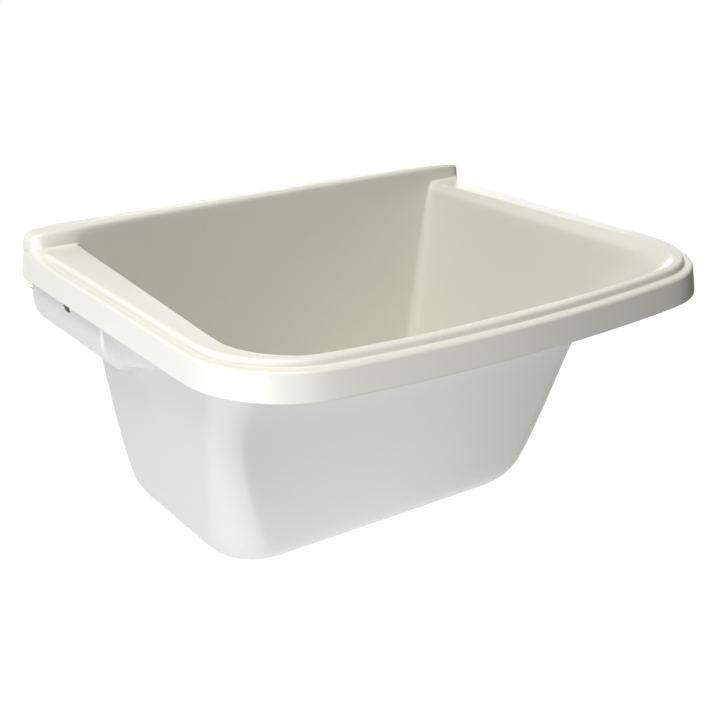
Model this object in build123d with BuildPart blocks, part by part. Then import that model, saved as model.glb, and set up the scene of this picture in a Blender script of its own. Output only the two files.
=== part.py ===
"""Wall-hung laundry sink: one moulded basin, its waste with a lift-out plug, and its wall brackets.

X runs to the right, Y back into the wall and Z up, in millimetres. The wall plane is Y = 0 and the
origin is the centre of the four wall fixings.
"""

from build123d import *
import math
import os

# ---- basin: general ----
WALL = 4.0  # thickness of the moulding
LEDGE_Z = 44.0  # top of the ledge above the centre of the wall fixings

# ---- basin: rim, in plan and in section ----
RIM_WIDTH = 600.0
RIM_DEPTH = 500.0  # from the wall to the middle of the front edge
RIM_BOW = 30.0  # how far the front edge bows out between its corners
RIM_CORNER = 112.0
SKIRT_DROP = 35.5  # bottom of the turned-down skirt below the ledge
SHOULDER_DROP = 7.0  # top of the skirt below the ledge
SHOULDER_ROUND = 3.0
SKIRT_HEEL = 9.0  # radius on the skirt's lower rear corners
BEAD_INSET = 8.5  # face of the bead behind the face of the skirt
BEAD_ROUND = 3.0

# ---- basin: upstand along the wall ----
UPSTAND_THICKNESS = 28.0
UPSTAND_RISE = 20.0
UPSTAND_CROWN = 2.0  # how far the top falls from the middle to the ends
UPSTAND_END_INSET = 2.0  # ends of the upstand inside the faces of the skirt
UPSTAND_END_ROUND = 16.0
UPSTAND_CORNER = 15.0  # plan radius at the front of each end
UPSTAND_EDGE_ROUND = 4.0

# ---- basin: bowl ----
BOWL_DEPTH = 320.0  # from the ledge to the underside of the floor
BOTTOM_ROUND = 54.0
REAR_LEDGE = 53.0  # from the skirt's face to the bowl's outside, beside the upstand
SIDE_LEDGE = 34.0  # the same at the front end of the side walls
REAR_SIDE_DRAFT = 0.127  # inward lean of the side walls for each unit of depth
FRONT_SIDE_DRAFT = 0.187
FRONT_WALL_REACH = 341.0  # front wall from the wall plane, carried up to the ledge
FRONT_WALL_DRAFT = 0.189
FRONT_LEDGE = 20.0  # from the skirt's face back to the top of the sloping apron
APRON_RUN = 1.6  # the apron's run towards the wall for each unit of depth
APRON_BLEND = 40.0  # softness of the bend between the apron and the front wall
FRONT_CORNER = 56.0  # plan radius of the front corners, low in the bowl
MOUTH_CORNER_GAIN = 34.0  # extra radius of the front corners at the ledge
MOUTH_BOW = 20.0  # bow of the front wall at the ledge
REAR_CORNER = 30.0
LEAST_CORNER = 8.0
MOUTH_ROUND = 6.0  # rounding from the ledge into the side walls
MOUTH_FRONT_SHARE = 0.4  # the same rounding across the front, where the apron already slopes
MOUTH_TURNS = (0, 25, 50, 75)  # degrees round the mouth's rounding at which outlines are drawn
WALL_SHARES = (0, 0.1, 0.22, 0.36, 0.52, 0.8, 1)  # depths down the wall at which outlines are drawn
BOTTOM_TURNS = (18, 36, 54, 72)  # degrees round the bottom's rounding at which outlines are drawn
FLAT_SHARE = 0.98  # where the flat of the floor starts, as a share of the bottom's rounding

# ---- basin: cheeks that hide the brackets ----
CHEEK_INSET = 6.0  # side of the cheek behind the skirt's face
CHEEK_DROP = 85.0
CHEEK_REACH = 170.0
CHEEK_BELLY = 20.0  # radius along the cheek's lower outer edge
CHEEK_NOSE = 14.0  # radius on the cheek's upright front edge
PORT_RADIUS = 13.0  # round hole through the side of each cheek
PORT_DROP = 42.0
PORT_REACH = 73.0

# ---- brackets ----
BRACKET_THICKNESS = 3.0
BRACKET_WIDTH = 33.0
BRACKET_PLAY = 3.0  # gap between the bracket and the inside of the cheek
BRACKET_DROP = 14.0  # top of the bracket below the ledge
BRACKET_REACH = 156.0
BRACKET_HEIGHT = 64.0
BRACKET_TOE = 14.0  # depth of the web at its front end
BRACKET_BEND = 4.0  # outer radius of the pressed bends
BRACKET_CORNER = 8.0  # plan radius on the free corners of both flanges
RIB_THICKNESS = 3.0
RIB_REACHES = (24.0, 146.0)  # ribs under the ledge that rest on the bracket
BOSS_REACH = 112.0  # screw boss under the ledge
BOSS_RADIUS = 7.0

# ---- wall fixings ----
FIXING_SPACING_Z = 36.0
WALL_SCREW_RADIUS = 4.0  # at the crests of the thread
WALL_SCREW_SHANK_RADIUS = 3.5
WALL_SCREW_LENGTH = 60.0
WALL_SCREW_HEAD_ACROSS = 13.0
WALL_SCREW_HEAD_HEIGHT = 5.5
WASHER_RADIUS = 8.0
WASHER_THICKNESS = 1.6
SCREW_PLAY = 0.5  # gap between a screw and the hole it passes through
THREAD_PLAY = 0.05  # gap left between a screw and the thread it bites in

# ---- screws that hold the basin down on the brackets ----
BASIN_SCREW_RADIUS = 2.1
BASIN_SCREW_HEAD_RADIUS = 4.5
BASIN_SCREW_HEAD_HEIGHT = 2.8
BASIN_SCREW_BITE = 8.0
SCREW_TIP_PLAY = 1.0

# ---- waste ----
WASTE_REACH = 145.0  # centre of the waste from the wall
WASTE_HOLE_RADIUS = 27.0
RECESS_RADIUS = 38.0
RECESS_DEPTH = 4.0
WASTE_BOSS_RADIUS = 46.0
SEAL_THICKNESS = 1.5
SEAL_SETBACK = 1.5  # seals stop short of the rims that squeeze them
PLATE_THICKNESS = 1.2
PLATE_RADIUS = 35.0
DISH_RADIUS = 25.5  # top of the dish, outside
DISH_FLOOR_RADIUS = 23.0
DISH_DEPTH = 16.0
STRAINER_HOLES = ((6, 8.5, 2.2), (10, 15.0, 2.6))  # count, circle radius, hole radius
BODY_SEAL_THICKNESS = 3.0
BODY_RIM_RADIUS = 39.0
BODY_RIM_THICKNESS = 5.0
BODY_WALL = 3.4
DISH_PLAY = 0.8
TAIL_RADIUS = 23.9
TAIL_LENGTH = 20.0
BODY_SHOULDER = 5.0
SPIDER_HEIGHT = 8.0
SPIDER_HUB_RADIUS = 7.0
SPIDER_ARM = 3.0
WASTE_SCREW_RADIUS = 3.0
WASTE_SCREW_HEAD_RADIUS = 5.4
WASTE_SCREW_HEAD_HEIGHT = 2.2
WASTE_SCREW_SLOT = 1.2

# ---- plug ----
PLUG_HEAD_RADIUS = 28.0
PLUG_HEAD_THICKNESS = 5.0
PLUG_PLAY = 0.3
PLUG_CLEAR_ABOVE_SCREW = 1.5
LUG_WIDTH = 5.0
LUG_RADIUS = 4.4
LUG_EYE_HEIGHT = 2.7
RING_WIRE_RADIUS = 1.25
RING_RADIUS = 12.0
RING_PLAY = 0.35

# ---- levels and places that follow ----
REAR_HALF_WIDTH = RIM_WIDTH / 2 - REAR_LEDGE
FRONT_HALF_WIDTH = RIM_WIDTH / 2 - SIDE_LEDGE
APRON_REACH = RIM_DEPTH - FRONT_LEDGE
CHEEK_HALF_WIDTH = RIM_WIDTH / 2 - CHEEK_INSET
BRACKET_INNER_X = CHEEK_HALF_WIDTH - WALL - BRACKET_PLAY - BRACKET_WIDTH
UPSTAND_HOLLOW = UPSTAND_THICKNESS - WALL
SKIRT_Z = LEDGE_Z - SKIRT_DROP
SHOULDER_Z = LEDGE_Z - SHOULDER_DROP
FLOOR_Z = LEDGE_Z - BOWL_DEPTH + WALL
RECESS_Z = FLOOR_Z - RECESS_DEPTH
WASTE_BOSS_Z = RECESS_Z - WALL
PLATE_Z = RECESS_Z + SEAL_THICKNESS
GRID_Z = PLATE_Z - DISH_DEPTH
BRACKET_Z = LEDGE_Z - BRACKET_DROP
FIXING_X = BRACKET_INNER_X + BRACKET_THICKNESS / 2 + BRACKET_WIDTH / 2
PLUG_SEAT_Z = PLATE_Z + PLATE_THICKNESS
PLUG_TOP_Z = PLUG_SEAT_Z + PLUG_HEAD_THICKNESS
EYE_Z = PLUG_TOP_Z + LUG_EYE_HEIGHT
AT_WASTE = (0, -WASTE_REACH)
WASTE_LINE = Axis((0, -WASTE_REACH, 0), (0, 0, 1))


def rim_outline(inset, rear_y):
    """Plan of the rim, moved in from the skirt's face at the sides and the front."""
    half = RIM_WIDTH / 2 - inset
    front = -RIM_DEPTH + inset
    with BuildSketch(Plane.XY) as plan:
        with BuildLine():
            Polyline((-half, front + RIM_BOW), (-half, rear_y), (half, rear_y), (half, front + RIM_BOW))
            ThreePointArc((half, front + RIM_BOW), (0, front), (-half, front + RIM_BOW))
        make_face()
        fillet(plan.vertices().group_by(Axis.Y)[0], RIM_CORNER - inset)
    return plan.sketch


def rim_form():
    """Solid rim in two tiers, the skirt and the bead, with their rounded shoulders."""
    with BuildPart() as form:
        with BuildSketch(Plane.XY.offset(SKIRT_Z)):
            add(rim_outline(0, 0))
        extrude(amount=SKIRT_DROP - SHOULDER_DROP)
        heels = form.edges().filter_by(Axis.X).group_by(Axis.Z)[0]
        fillet(form.faces().sort_by(Axis.Z)[-1].edges() - form.edges().filter_by(Axis.X), SHOULDER_ROUND)
        with BuildSketch(Plane.XY.offset(LEDGE_Z - SHOULDER_DROP)):
            add(rim_outline(BEAD_INSET, 0))
        extrude(amount=SHOULDER_DROP)
        fillet(form.faces().sort_by(Axis.Z)[-1].edges() - form.edges().filter_by(Axis.X), BEAD_ROUND)
        fillet(heels, SKIRT_HEEL)
    return form.part


def rim_hollow():
    """Space under the rim, open below and at the wall."""
    with BuildPart() as form:
        with BuildSketch(Plane.XY.offset(SKIRT_Z)):
            add(rim_outline(WALL, WALL))
        extrude(amount=SKIRT_DROP - SHOULDER_DROP - WALL)
        with BuildSketch(Plane.XY.offset(LEDGE_Z - SHOULDER_DROP - WALL)):
            add(rim_outline(BEAD_INSET + WALL, WALL))
        extrude(amount=SHOULDER_DROP)
    return form.part


def upstand_form(inset, bottom_z, rear_y, edge_round):
    """Upstand block with round ends, a gently crowned top and a softened front edge."""
    half = RIM_WIDTH / 2 - UPSTAND_END_INSET - inset
    front = -UPSTAND_THICKNESS + inset
    top = LEDGE_Z + UPSTAND_RISE - inset
    end_top = top - UPSTAND_CROWN
    with BuildPart() as form:
        with BuildSketch(Plane.XZ.offset(-rear_y)) as profile:
            with BuildLine():
                Polyline((half, end_top), (half, bottom_z), (-half, bottom_z), (-half, end_top))
                ThreePointArc((-half, end_top), (0, top), (half, end_top))
            make_face()
            fillet(profile.vertices().group_by(Axis.Y)[-1], UPSTAND_END_ROUND - inset)
        extrude(amount=rear_y - front)
        if edge_round:
            face_edges = form.faces().sort_by(Axis.Y)[0].edges()
            fillet(face_edges - face_edges.group_by(Axis.Z)[0], edge_round)
        with BuildSketch(Plane.XY.offset(bottom_z)) as plan:
            with BuildLine():
                Polyline((-half, rear_y), (-half, front), (half, front), (half, rear_y), close=True)
            make_face()
            fillet(plan.vertices().group_by(Axis.Y)[0], UPSTAND_CORNER - inset)
        extrude(amount=top - bottom_z, mode=Mode.INTERSECT)
    return form.part


def front_wall(depth):
    """Reach of the bowl's front at one depth, the apron's share in it and its run per unit of depth."""
    steep = FRONT_WALL_REACH - FRONT_WALL_DRAFT * depth
    ahead = APRON_REACH - APRON_RUN * depth - steep
    blend = math.hypot(ahead, APRON_BLEND)
    lead = (ahead + blend) / 2
    run = FRONT_WALL_DRAFT + (APRON_RUN - FRONT_WALL_DRAFT) * (1 + ahead / blend) / 2
    return steep + lead, lead, run


def bowl_outline(depth, wall, inset, flare):
    """Plan of the bowl at one depth: inside its wall, moved in by an inset and flared at the mouth."""
    reach, lead, run = front_wall(depth)
    apron_share = lead / front_wall(0)[1]
    rear_half = REAR_HALF_WIDTH - REAR_SIDE_DRAFT * depth - wall - inset + flare
    front_half = FRONT_HALF_WIDTH - FRONT_SIDE_DRAFT * depth - wall - inset + flare
    rear_y = -UPSTAND_HOLLOW - wall - inset
    front_y = -reach + wall * math.hypot(1, run) + inset - flare * MOUTH_FRONT_SHARE
    bow = MOUTH_BOW * apron_share
    rear_corner = REAR_CORNER - wall - inset
    front_corner = FRONT_CORNER + MOUTH_CORNER_GAIN * apron_share - wall - inset
    with BuildSketch(Plane.XY.offset(LEDGE_Z - depth)) as plan:
        with BuildLine():
            Polyline(
                (-front_half, front_y + bow),
                (-rear_half, rear_y),
                (rear_half, rear_y),
                (front_half, front_y + bow),
            )
            ThreePointArc((front_half, front_y + bow), (0, front_y), (-front_half, front_y + bow))
        make_face()
        fillet(plan.vertices().group_by(Axis.Y)[-1], max(rear_corner, LEAST_CORNER))
        fillet(plan.vertices().group_by(Axis.Y)[0], max(front_corner, LEAST_CORNER))
    return plan.sketch


def bowl_form(wall, flare):
    """Bowl as one smooth skin through its outlines, from the mouth round to the flat of the floor."""
    floor_depth = BOWL_DEPTH - wall
    radius = BOTTOM_ROUND - wall
    wall_depth = floor_depth - radius
    outlines = []
    if flare:
        for turn in MOUTH_TURNS:
            drop = flare * (1 - math.cos(math.radians(turn)))
            outlines.append(bowl_outline(drop, wall, 0, flare * (1 - math.sin(math.radians(turn)))))
    for share in WALL_SHARES:
        outlines.append(bowl_outline(flare + (wall_depth - flare) * share, wall, 0, 0))
    for turn in BOTTOM_TURNS:
        depth = wall_depth + radius * math.sin(math.radians(turn))
        outlines.append(bowl_outline(depth, wall, radius * (1 - math.cos(math.radians(turn))), 0))
    outlines.append(bowl_outline(floor_depth, wall, radius * FLAT_SHARE, 0))
    with BuildPart() as form:
        loft(outlines)
    return form.part


def cheek_block(inset, rear_y):
    """Block beside the bowl with a rounded belly and a rounded nose, moved in by an inset."""
    side = CHEEK_HALF_WIDTH - inset
    bottom = LEDGE_Z - CHEEK_DROP + inset
    top = LEDGE_Z - WALL / 2
    inner = REAR_HALF_WIDTH - REAR_SIDE_DRAFT * CHEEK_DROP - REAR_CORNER
    with BuildPart() as form:
        with BuildSketch(Plane.XZ.offset(-rear_y)) as profile:
            with BuildLine():
                Polyline((inner, top), (side, top), (side, bottom), (inner, bottom), close=True)
            make_face()
            fillet(profile.vertices().group_by(Axis.Y)[0].sort_by(Axis.X)[-1], CHEEK_BELLY - inset)
        extrude(amount=CHEEK_REACH - inset + rear_y)
        nose = form.edges().filter_by(Axis.Z).sort_by(Axis.X).group_by(Axis.Y)[0][-1]
        fillet(nose, CHEEK_NOSE - inset)
    return form.part


def cheek_form():
    """Right-hand ear, hollow and open at the wall. Its top ends inside the ledge and inside the shoulder."""
    block = cheek_block(0, 0)
    pocket = cheek_block(WALL, WALL)
    bead_x = RIM_WIDTH / 2 - BEAD_INSET - WALL / 2
    side_x = CHEEK_HALF_WIDTH
    with BuildPart() as form:
        add(block)
        add(pocket, mode=Mode.SUBTRACT)
        with BuildSketch(Plane.XY.offset(SHOULDER_Z - WALL / 2)):
            with BuildLine():
                Polyline((bead_x, 0), (side_x, 0), (side_x, -CHEEK_REACH), (bead_x, -CHEEK_REACH), close=True)
            make_face()
        extrude(amount=SHOULDER_DROP, mode=Mode.SUBTRACT)
    return form.part


def waste_section(points):
    """Closed (radius, z) outline in the plane through the waste's centre line."""
    with BuildSketch(Plane.XZ.offset(WASTE_REACH)) as section:
        with BuildLine():
            Polyline(*points, close=True)
        make_face()
    return section.sketch


def ring_section(inner, outer, bottom_z, height):
    """Outline of a flat ring about the waste's centre line."""
    top_z = bottom_z + height
    return waste_section([(inner, bottom_z), (outer, bottom_z), (outer, top_z), (inner, top_z)])


def finish(piece, name):
    """Name a finished piece and write it to its own file."""
    piece.label = name
    export_step(piece, f"parts/{name}.step")


os.makedirs("parts", exist_ok=True)

# ---- basin: outer blocks, then the hollows under them, then the bowl through the middle ----
rim = rim_form()
rim_space = rim_hollow()
upstand = upstand_form(0, SHOULDER_Z - WALL, 0, UPSTAND_EDGE_ROUND)
upstand_space = upstand_form(WALL, SHOULDER_Z - 2 * WALL, WALL, 0)
right_cheek = cheek_form()
left_cheek = right_cheek.mirror(Plane.YZ)
bowl = bowl_form(0, 0)
bowl_space = bowl_form(WALL, MOUTH_ROUND)
with BuildPart() as basin:
    add(rim)
    add(upstand)
    add(rim_space, mode=Mode.SUBTRACT)
    add(upstand_space, mode=Mode.SUBTRACT)
    for side, cheek in ((-1, left_cheek), (1, right_cheek)):
        add(cheek)
        # root that joins the cheek to the inside of the skirt
        with BuildSketch(Plane.XY.offset(SKIRT_Z)):
            root_width = RIM_WIDTH / 2 - CHEEK_HALF_WIDTH + WALL / 2
            root_length = CHEEK_REACH - CHEEK_NOSE - SKIRT_HEEL
            root_x = CHEEK_HALF_WIDTH - WALL + root_width / 2
            with Locations((side * root_x, -SKIRT_HEEL - root_length / 2)):
                Rectangle(root_width, root_length)
        extrude(amount=SHOULDER_Z - WALL - SKIRT_Z)
        # ribs and a screw boss that stand on the bracket
        with BuildSketch(Plane.XY.offset(BRACKET_Z)):
            rib_end = RIM_WIDTH / 2 - BEAD_INSET - WALL / 4
            rib_width = rib_end - BRACKET_INNER_X + BRACKET_DROP
            for reach in RIB_REACHES:
                with Locations((side * (rib_end - rib_width / 2), -reach)):
                    Rectangle(rib_width, RIB_THICKNESS)
            with Locations((side * FIXING_X, -BOSS_REACH)):
                Circle(BOSS_RADIUS)
        extrude(amount=BRACKET_DROP - WALL)
        with BuildSketch(Plane.XY.offset(BRACKET_Z)):
            with Locations((side * FIXING_X, -BOSS_REACH)):
                Circle(BASIN_SCREW_RADIUS + THREAD_PLAY)
        extrude(amount=BASIN_SCREW_BITE + SCREW_TIP_PLAY, mode=Mode.SUBTRACT)
        # round port in the side of the cheek, blind against the skirt
        port_start = CHEEK_HALF_WIDTH - 2 * WALL
        with BuildSketch(Plane.YZ.offset(side * port_start)):
            with Locations((-PORT_REACH, LEDGE_Z - PORT_DROP)):
                Circle(PORT_RADIUS)
        extrude(amount=side * (RIM_WIDTH / 2 - WALL - port_start), mode=Mode.SUBTRACT)
    add(bowl)
    add(bowl_space, mode=Mode.SUBTRACT)
    # thicker floor round the waste, with the recess and the hole in it
    with BuildSketch(Plane.XY.offset(WASTE_BOSS_Z)):
        with Locations(AT_WASTE):
            Circle(WASTE_BOSS_RADIUS)
    extrude(amount=FLOOR_Z - WASTE_BOSS_Z)
    with BuildSketch(Plane.XY.offset(RECESS_Z)):
        with Locations(AT_WASTE):
            Circle(RECESS_RADIUS)
    extrude(amount=RECESS_DEPTH, mode=Mode.SUBTRACT)
    with BuildSketch(Plane.XY.offset(WASTE_BOSS_Z)):
        with Locations(AT_WASTE):
            Circle(WASTE_HOLE_RADIUS)
    extrude(amount=FLOOR_Z - WASTE_BOSS_Z, mode=Mode.SUBTRACT)
finish(basin.part, "basin")

# ---- waste: dished strainer plate, seals, body and screw ----
with BuildPart() as waste_flange:
    revolve(
        waste_section(
            [
                (0, GRID_Z),
                (DISH_FLOOR_RADIUS, GRID_Z),
                (DISH_RADIUS, PLATE_Z),
                (PLATE_RADIUS, PLATE_Z),
                (PLATE_RADIUS, PLUG_SEAT_Z),
                (DISH_RADIUS - PLATE_THICKNESS, PLUG_SEAT_Z),
                (DISH_FLOOR_RADIUS - PLATE_THICKNESS, GRID_Z + PLATE_THICKNESS),
                (0, GRID_Z + PLATE_THICKNESS),
            ]
        ),
        axis=WASTE_LINE,
    )
    with BuildSketch(Plane.XY.offset(GRID_Z)):
        with Locations(AT_WASTE):
            Circle(WASTE_SCREW_RADIUS + SCREW_PLAY)
            for count, circle_radius, hole_radius in STRAINER_HOLES:
                with PolarLocations(circle_radius, count):
                    Circle(hole_radius)
    extrude(amount=PLATE_THICKNESS, mode=Mode.SUBTRACT)
finish(waste_flange.part, "waste_flange")

with BuildPart() as flange_seal:
    seal_radius = PLATE_RADIUS - SEAL_SETBACK
    revolve(ring_section(WASTE_HOLE_RADIUS, seal_radius, RECESS_Z, SEAL_THICKNESS), axis=WASTE_LINE)
finish(flange_seal.part, "flange_seal")

BODY_TOP_Z = WASTE_BOSS_Z - BODY_SEAL_THICKNESS
with BuildPart() as body_seal:
    seal_radius = BODY_RIM_RADIUS - SEAL_SETBACK
    revolve(ring_section(WASTE_HOLE_RADIUS, seal_radius, BODY_TOP_Z, BODY_SEAL_THICKNESS), axis=WASTE_LINE)
finish(body_seal.part, "body_seal")

BORE_RADIUS = TAIL_RADIUS - BODY_WALL
CUP_RADIUS = DISH_RADIUS + DISH_PLAY
NECK_RADIUS = CUP_RADIUS + BODY_WALL
NECK_Z = GRID_Z - SPIDER_HEIGHT
TAIL_TOP_Z = NECK_Z - BODY_SHOULDER
with BuildPart() as waste_body:
    revolve(
        waste_section(
            [
                (BORE_RADIUS, TAIL_TOP_Z - TAIL_LENGTH),
                (TAIL_RADIUS, TAIL_TOP_Z - TAIL_LENGTH),
                (TAIL_RADIUS, TAIL_TOP_Z),
                (NECK_RADIUS, NECK_Z),
                (NECK_RADIUS, BODY_TOP_Z - BODY_RIM_THICKNESS),
                (BODY_RIM_RADIUS, BODY_TOP_Z - BODY_RIM_THICKNESS),
                (BODY_RIM_RADIUS, BODY_TOP_Z),
                (CUP_RADIUS, BODY_TOP_Z),
                (CUP_RADIUS, GRID_Z),
                (BORE_RADIUS, GRID_Z),
            ]
        ),
        axis=WASTE_LINE,
    )
    # hub and arms that take the waste screw
    with BuildSketch(Plane.XY.offset(NECK_Z)):
        with Locations(AT_WASTE):
            Circle(SPIDER_HUB_RADIUS)
            with PolarLocations(BORE_RADIUS / 2, 3):
                Rectangle(BORE_RADIUS + BODY_WALL, SPIDER_ARM)
            Circle(WASTE_SCREW_RADIUS + THREAD_PLAY, mode=Mode.SUBTRACT)
    extrude(amount=SPIDER_HEIGHT)
finish(waste_body.part, "waste_body")

with BuildPart() as waste_screw:
    head_z = GRID_Z + PLATE_THICKNESS
    with BuildSketch(Plane.XY.offset(head_z)):
        with Locations(AT_WASTE):
            Circle(WASTE_SCREW_HEAD_RADIUS)
    extrude(amount=WASTE_SCREW_HEAD_HEIGHT)
    fillet(waste_screw.edges().group_by(Axis.Z)[-1], WASTE_SCREW_HEAD_HEIGHT / 2)
    with BuildSketch(Plane.XY.offset(head_z)):
        with Locations(AT_WASTE):
            Circle(WASTE_SCREW_RADIUS)
    extrude(amount=-(SPIDER_HEIGHT + PLATE_THICKNESS))
    with BuildSketch(Plane.XY.offset(head_z + WASTE_SCREW_HEAD_HEIGHT)):
        with Locations(AT_WASTE):
            Rectangle(2 * WASTE_SCREW_HEAD_RADIUS, WASTE_SCREW_SLOT)
    extrude(amount=-WASTE_SCREW_SLOT, mode=Mode.SUBTRACT)
finish(waste_screw.part, "waste_screw")

# ---- plug that seats in the dish, and the ring in its lug ----
PLUG_BOTTOM_Z = GRID_Z + PLATE_THICKNESS + WASTE_SCREW_HEAD_HEIGHT + PLUG_CLEAR_ABOVE_SCREW
DISH_TAPER = (DISH_RADIUS - DISH_FLOOR_RADIUS) / DISH_DEPTH
PLUG_TOP_RADIUS = DISH_RADIUS - PLATE_THICKNESS - PLUG_PLAY
PLUG_BOTTOM_RADIUS = PLUG_TOP_RADIUS - DISH_TAPER * (PLUG_SEAT_Z - PLUG_BOTTOM_Z)
RING_SAG = RING_RADIUS - math.sqrt(RING_RADIUS**2 - (LUG_WIDTH / 2) ** 2)
with BuildPart() as plug:
    revolve(
        waste_section(
            [
                (0, PLUG_BOTTOM_Z),
                (PLUG_BOTTOM_RADIUS, PLUG_BOTTOM_Z),
                (PLUG_TOP_RADIUS, PLUG_SEAT_Z),
                (PLUG_HEAD_RADIUS, PLUG_SEAT_Z),
                (PLUG_HEAD_RADIUS, PLUG_TOP_Z),
                (0, PLUG_TOP_Z),
            ]
        ),
        axis=WASTE_LINE,
    )
    fillet(plug.edges().group_by(Axis.Z)[-1], PLUG_HEAD_THICKNESS / 3)
    with BuildSketch(Plane.YZ.offset(-LUG_WIDTH / 2)):
        with Locations((-WASTE_REACH, EYE_Z)):
            Circle(LUG_RADIUS)
        with Locations((-WASTE_REACH, EYE_Z - LUG_EYE_HEIGHT / 2)):
            Rectangle(2 * LUG_RADIUS, LUG_EYE_HEIGHT)
        with Locations((-WASTE_REACH, EYE_Z)):
            Circle(RING_WIRE_RADIUS + RING_SAG + RING_PLAY, mode=Mode.SUBTRACT)
    extrude(amount=LUG_WIDTH)
finish(plug.part, "plug")

with BuildPart(Plane((0, -WASTE_REACH + RING_RADIUS, EYE_Z))) as plug_ring:
    Torus(RING_RADIUS, RING_WIRE_RADIUS)
finish(plug_ring.part, "plug_ring")

# ---- brackets: a pressed gusset with one flange on the wall and one under the ledge ----
for side, name in ((-1, "bracket_left"), (1, "bracket_right")):
    with BuildPart() as bracket:
        with BuildSketch(Plane.YZ.offset(side * BRACKET_INNER_X)):
            with BuildLine():
                Polyline(
                    (0, BRACKET_Z),
                    (-BRACKET_REACH, BRACKET_Z),
                    (-BRACKET_REACH, BRACKET_Z - BRACKET_TOE),
                    (-BRACKET_TOE, BRACKET_Z - BRACKET_HEIGHT),
                    (0, BRACKET_Z - BRACKET_HEIGHT),
                    close=True,
                )
            make_face()
        extrude(amount=side * BRACKET_THICKNESS)
        flange_x = side * (BRACKET_INNER_X + BRACKET_WIDTH / 2)
        with BuildSketch(Plane.XY.offset(BRACKET_Z)):
            with Locations((flange_x, -BRACKET_REACH / 2)):
                Rectangle(BRACKET_WIDTH, BRACKET_REACH)
        extrude(amount=-BRACKET_THICKNESS)
        with BuildSketch(Plane.XZ):
            with Locations((flange_x, BRACKET_Z - BRACKET_HEIGHT / 2)):
                Rectangle(BRACKET_WIDTH, BRACKET_HEIGHT)
        extrude(amount=BRACKET_THICKNESS)
        outer_edges = bracket.edges().group_by(Axis.X)[-1 if side > 0 else 0]
        front_corner = outer_edges.filter_by(Axis.Z).group_by(Axis.Y)[0]
        lower_corner = outer_edges.filter_by(Axis.Y).group_by(Axis.Z)[0]
        fillet(front_corner + lower_corner, BRACKET_CORNER)
        inner_edges = bracket.edges().group_by(Axis.X)[0 if side > 0 else -1]
        top_bend = inner_edges.filter_by(Axis.Y).group_by(Axis.Z)[-1]
        wall_bend = inner_edges.filter_by(Axis.Z).group_by(Axis.Y)[-1]
        fillet(top_bend + wall_bend, BRACKET_BEND)
        with BuildSketch(Plane.XZ):
            with GridLocations(2 * FIXING_X, FIXING_SPACING_Z, 2, 2):
                Circle(WALL_SCREW_RADIUS + SCREW_PLAY)
        extrude(amount=BRACKET_THICKNESS, mode=Mode.SUBTRACT)
        with BuildSketch(Plane.XY.offset(BRACKET_Z)):
            with Locations((side * FIXING_X, -BOSS_REACH)):
                Circle(BASIN_SCREW_RADIUS + SCREW_PLAY)
        extrude(amount=-BRACKET_THICKNESS, mode=Mode.SUBTRACT)
    finish(bracket.part, name)

# ---- fixings ----
with BuildPart() as screw_washers:
    with BuildSketch(Plane.XZ.offset(BRACKET_THICKNESS)):
        with GridLocations(2 * FIXING_X, FIXING_SPACING_Z, 2, 2):
            Circle(WASHER_RADIUS)
            Circle(WALL_SCREW_RADIUS + SCREW_PLAY, mode=Mode.SUBTRACT)
    extrude(amount=WASHER_THICKNESS)
finish(screw_washers.part, "screw_washers")

with BuildPart() as wall_screws:
    with BuildSketch(Plane.XZ.offset(BRACKET_THICKNESS + WASHER_THICKNESS)):
        with GridLocations(2 * FIXING_X, FIXING_SPACING_Z, 2, 2):
            RegularPolygon(WALL_SCREW_HEAD_ACROSS / 2, 6, major_radius=False)
    extrude(amount=WALL_SCREW_HEAD_HEIGHT)
    with BuildSketch(Plane.XZ.offset(BRACKET_THICKNESS + WASHER_THICKNESS)):
        with GridLocations(2 * FIXING_X, FIXING_SPACING_Z, 2, 2):
            Circle(WALL_SCREW_SHANK_RADIUS)
    extrude(amount=-(BRACKET_THICKNESS + WASHER_THICKNESS))
    with BuildSketch(Plane.XZ):
        with GridLocations(2 * FIXING_X, FIXING_SPACING_Z, 2, 2):
            Circle(WALL_SCREW_RADIUS)
    extrude(amount=BRACKET_THICKNESS + WASHER_THICKNESS - WALL_SCREW_LENGTH)
    chamfer(wall_screws.edges().group_by(Axis.Y)[-1], 2 * WALL_SCREW_RADIUS, WALL_SCREW_RADIUS / 2)
finish(wall_screws.part, "wall_screws")

with BuildPart() as basin_screws:
    with BuildSketch(Plane.XY.offset(BRACKET_Z - BRACKET_THICKNESS)):
        with GridLocations(2 * FIXING_X, 0, 2, 1):
            with Locations((0, -BOSS_REACH)):
                Circle(BASIN_SCREW_HEAD_RADIUS)
    extrude(amount=-BASIN_SCREW_HEAD_HEIGHT)
    fillet(basin_screws.edges().group_by(Axis.Z)[0], BASIN_SCREW_HEAD_HEIGHT / 3)
    with BuildSketch(Plane.XY.offset(BRACKET_Z - BRACKET_THICKNESS)):
        with GridLocations(2 * FIXING_X, 0, 2, 1):
            with Locations((0, -BOSS_REACH)):
                Circle(BASIN_SCREW_RADIUS)
    extrude(amount=BRACKET_THICKNESS + BASIN_SCREW_BITE)
finish(basin_screws.part, "basin_screws")
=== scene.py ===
"""Looks of the wall-hung laundry sink, laid out as an add-on and run as a script.

All lengths are metres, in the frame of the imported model: X to the right, Y back into the wall at
Y = 0, Z up. Sections of the basin are drawn as pairs of outlines, one for each side of the moulding,
and become one closed cage that a subdivision surface rounds off.
"""

import math

import bmesh
import bpy
import numpy as np
from mathutils import Matrix, Vector


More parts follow.
